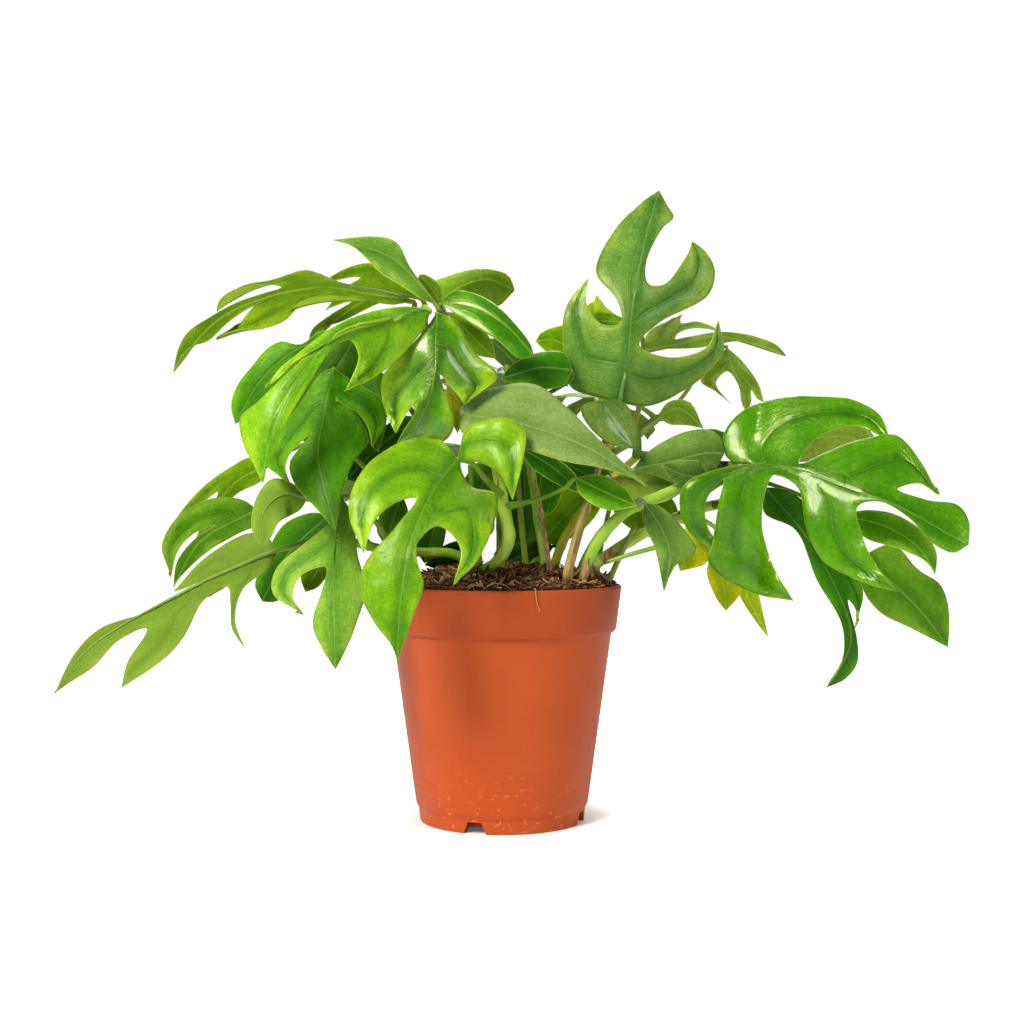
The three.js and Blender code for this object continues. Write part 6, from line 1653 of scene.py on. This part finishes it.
# What clings to the vines: dry papery sheaths that once wrapped a young leaf and now hang on as
# torn tan strips along its side; and thin wiry roots, tan to nearly black.
SHEATH_THICKNESS = 0.25
SHEATH_ROWS, SHEATH_COLUMNS = 26, 15
SHEATH_STAND_OFF, SHEATH_EDGE_LIFT, SHEATH_SWAY = 0.3, 0.8, 0.2
SHEATH_STEP = 0.8
ROOTLET_STEP, ROOTLET_SIDES = 1.2, 8
SHEATHS = [
    # vine, mm along it, length, angle where it begins and how far round it goes, in degrees
    # from its left side towards the front
    ("stem_front_left", 44, 30, -40, 75),
    ("stem_front_left", 30, 12, 120, 130),
    ("stem_front_right", 30, 16, 70, 150),
    ("stem_right", 38, 13, 60, 150),
    ("stem_centre", 26, 66, 100, 55),
    ("stem_brown", 26, 70, 110, 60),
]
ROOTLETS = [
    # radius, then [x, z, depth] points sighted from the front
    dict(radius=1.0, tint="dark", route=[[57, 158, -38], [63, 153, -42], [69, 148, -44]]),
    dict(radius=0.8, tint="tan", route=[[-15, 160, -36], [-22, 154, -40], [-27, 145, -42]]),
    dict(radius=0.7, tint="tan", route=[[2, 162, -38], [8, 154, -44], [14, 146, -46]]),
    dict(radius=0.9, tint="dark", route=[[28, 160, -26], [22, 155, -34], [18, 147, -38]]),
    dict(radius=0.6, tint="tan", route=[[52, 160, -38], [46, 153, -44], [40, 147, -46]]),
    dict(radius=0.4, tint="paper", route=[[20, 143, -68], [21, 144, -73], [21.5, 139.5, -73],
                                          [22, 135, -72.5], [24, 130, -71.5]]),
]
PETIOLES = [
    dict(radius=1.5, tint="vivid", route=[[66, 161, -30], [82, 166, -34], [100, 171, -40]]),
    dict(radius=2.0, tint="meadow", route=[[-20, 222, 12], [-18, 190, 9], [-14, 160, 6], [-13, 146, 6]]),
    dict(radius=2.1, tint="olive", route=[[9, 222, 24], [12, 188, 18], [15, 158, 12], [16, 146, 12]]),
    dict(radius=1.7, tint="olive", route=[[68, 196, 8], [63, 174, 6], [59, 148, 4]]),
    dict(radius=1.9, tint="straw", route=[[84, 184, -12], [75, 166, -12], [66, 146, -12]]),
    dict(radius=1.8, tint="shade", route=[[-34, 226, 14], [-30, 190, 12], [-22, 158, 8], [-20, 146, 8]]),
]


def dry_tissue(name, low, high):
    """Dry papery plant tissue: matt, streaked lengthwise in tan and brown."""
    material, add = bare_material("dry_aroid_tissue_" + name)
    place = add("TexCoord", out="Object")
    stretched = add("Mapping", place, Scale=(900, 900, 90))
    streak = add("TexNoise", stretched, Scale=1.0, Detail=4.0)
    share = add("MapRange", streak, 0.35, 0.65)
    tone = add("Mix", share, low, high, data_type="RGBA")
    bump = add("Bump", Height=streak, Strength=0.6, Distance=0.0004)
    surface = add("BsdfPrincipled", Base_Color=tone, Roughness=0.75, Normal=bump)
    add("OutputMaterial", surface, out=None)
    return material


DRY_TONES = {"paper": ("#7a5428", "#c4a468"), "tan": ("#7c5830", "#a98454"), "dark": ("#2c2012", "#574024")}
DRY = {name: dry_tissue(name, *tones) for name, tones in DRY_TONES.items()}


def sheath(name, vine, at, length, begins, spread):
    """A strip wrapped part-way round a vine a little off it: its long edges stand off further and
    its upper end is torn to a wavy line."""
    line = evenly(vine_line(vine), SHEATH_STEP)
    run = travelled(line)
    across = np.linspace(0, 1, SHEATH_COLUMNS)
    torn = 0.82 + 0.18 * np.sin(across * 17 + at) * np.sin(across * 7)
    where = at + np.linspace(0, 1, SHEATH_ROWS)[:, None] * torn[None] * length
    centre, beyond = (np.stack([np.interp(where + step, run, part) for part in line.T], -1)
                      for step in (0, 1))
    ahead = unit(beyond - centre)
    aside = unit(np.cross(ahead, [0, 1.0, 0]))
    above = np.cross(ahead, aside)
    angle = np.radians(begins + across * spread)[None, :, None]
    out = aside * np.cos(angle) + above * np.sin(angle)
    curl = SHEATH_EDGE_LIFT * np.abs(across * 2 - 1) ** 4
    lift = SHEATH_STAND_OFF + curl + SHEATH_SWAY * np.sin(across * 5 + at)
    radius = vine["radius"] * (1 - VINE_TAPER * where / run[-1]) * 1.03 + lift
    points = (centre + out * radius[..., None]).reshape(-1, 3)
    faces = grid_faces(SHEATH_ROWS, SHEATH_COLUMNS)
    normals = point_normals(points, faces)
    shell = thicken(points, faces, normals, np.full(len(points), SHEATH_THICKNESS / 2))
    add_piece(name, "vine", *shell, DRY["paper"])


for number, (vine_name, *rest) in enumerate(SHEATHS):
    sheath("sheath_%d" % number, VINES[vine_name], *rest)
for number, root in enumerate(ROOTLETS):
    line = evenly(smooth(sighted(root["route"])), ROOTLET_STEP)
    radii = np.linspace(root["radius"], root["radius"] * 0.5, len(line))
    points, faces = tube(line, radii, ROOTLET_SIDES)
    add_piece("rootlet_%d" % number, "vine", points, faces, DRY[root["tint"]])
for number, stalk in enumerate(PETIOLES):
    line = evenly(smooth(sighted(stalk["route"])), STALK_STEP)
    points, faces = tube(line, np.linspace(stalk["radius"] * 0.85, stalk["radius"], len(line)), STALK_SIDES)
    maps = {"vein": np.zeros((len(faces), 3, 2)) + [STALK_PLACE, 0],
            "grain": round_map(faces, len(line), STALK_SIDES, stalk["radius"], travelled(line)[-1])}
    values = {key: np.full(len(points), value) for key, value in zip(POINT_VALUES, STALK_VALUES)}
    add_piece("petiole_%d" % number, "leaf", points, faces, TISSUES[stalk["tint"]], maps, values)
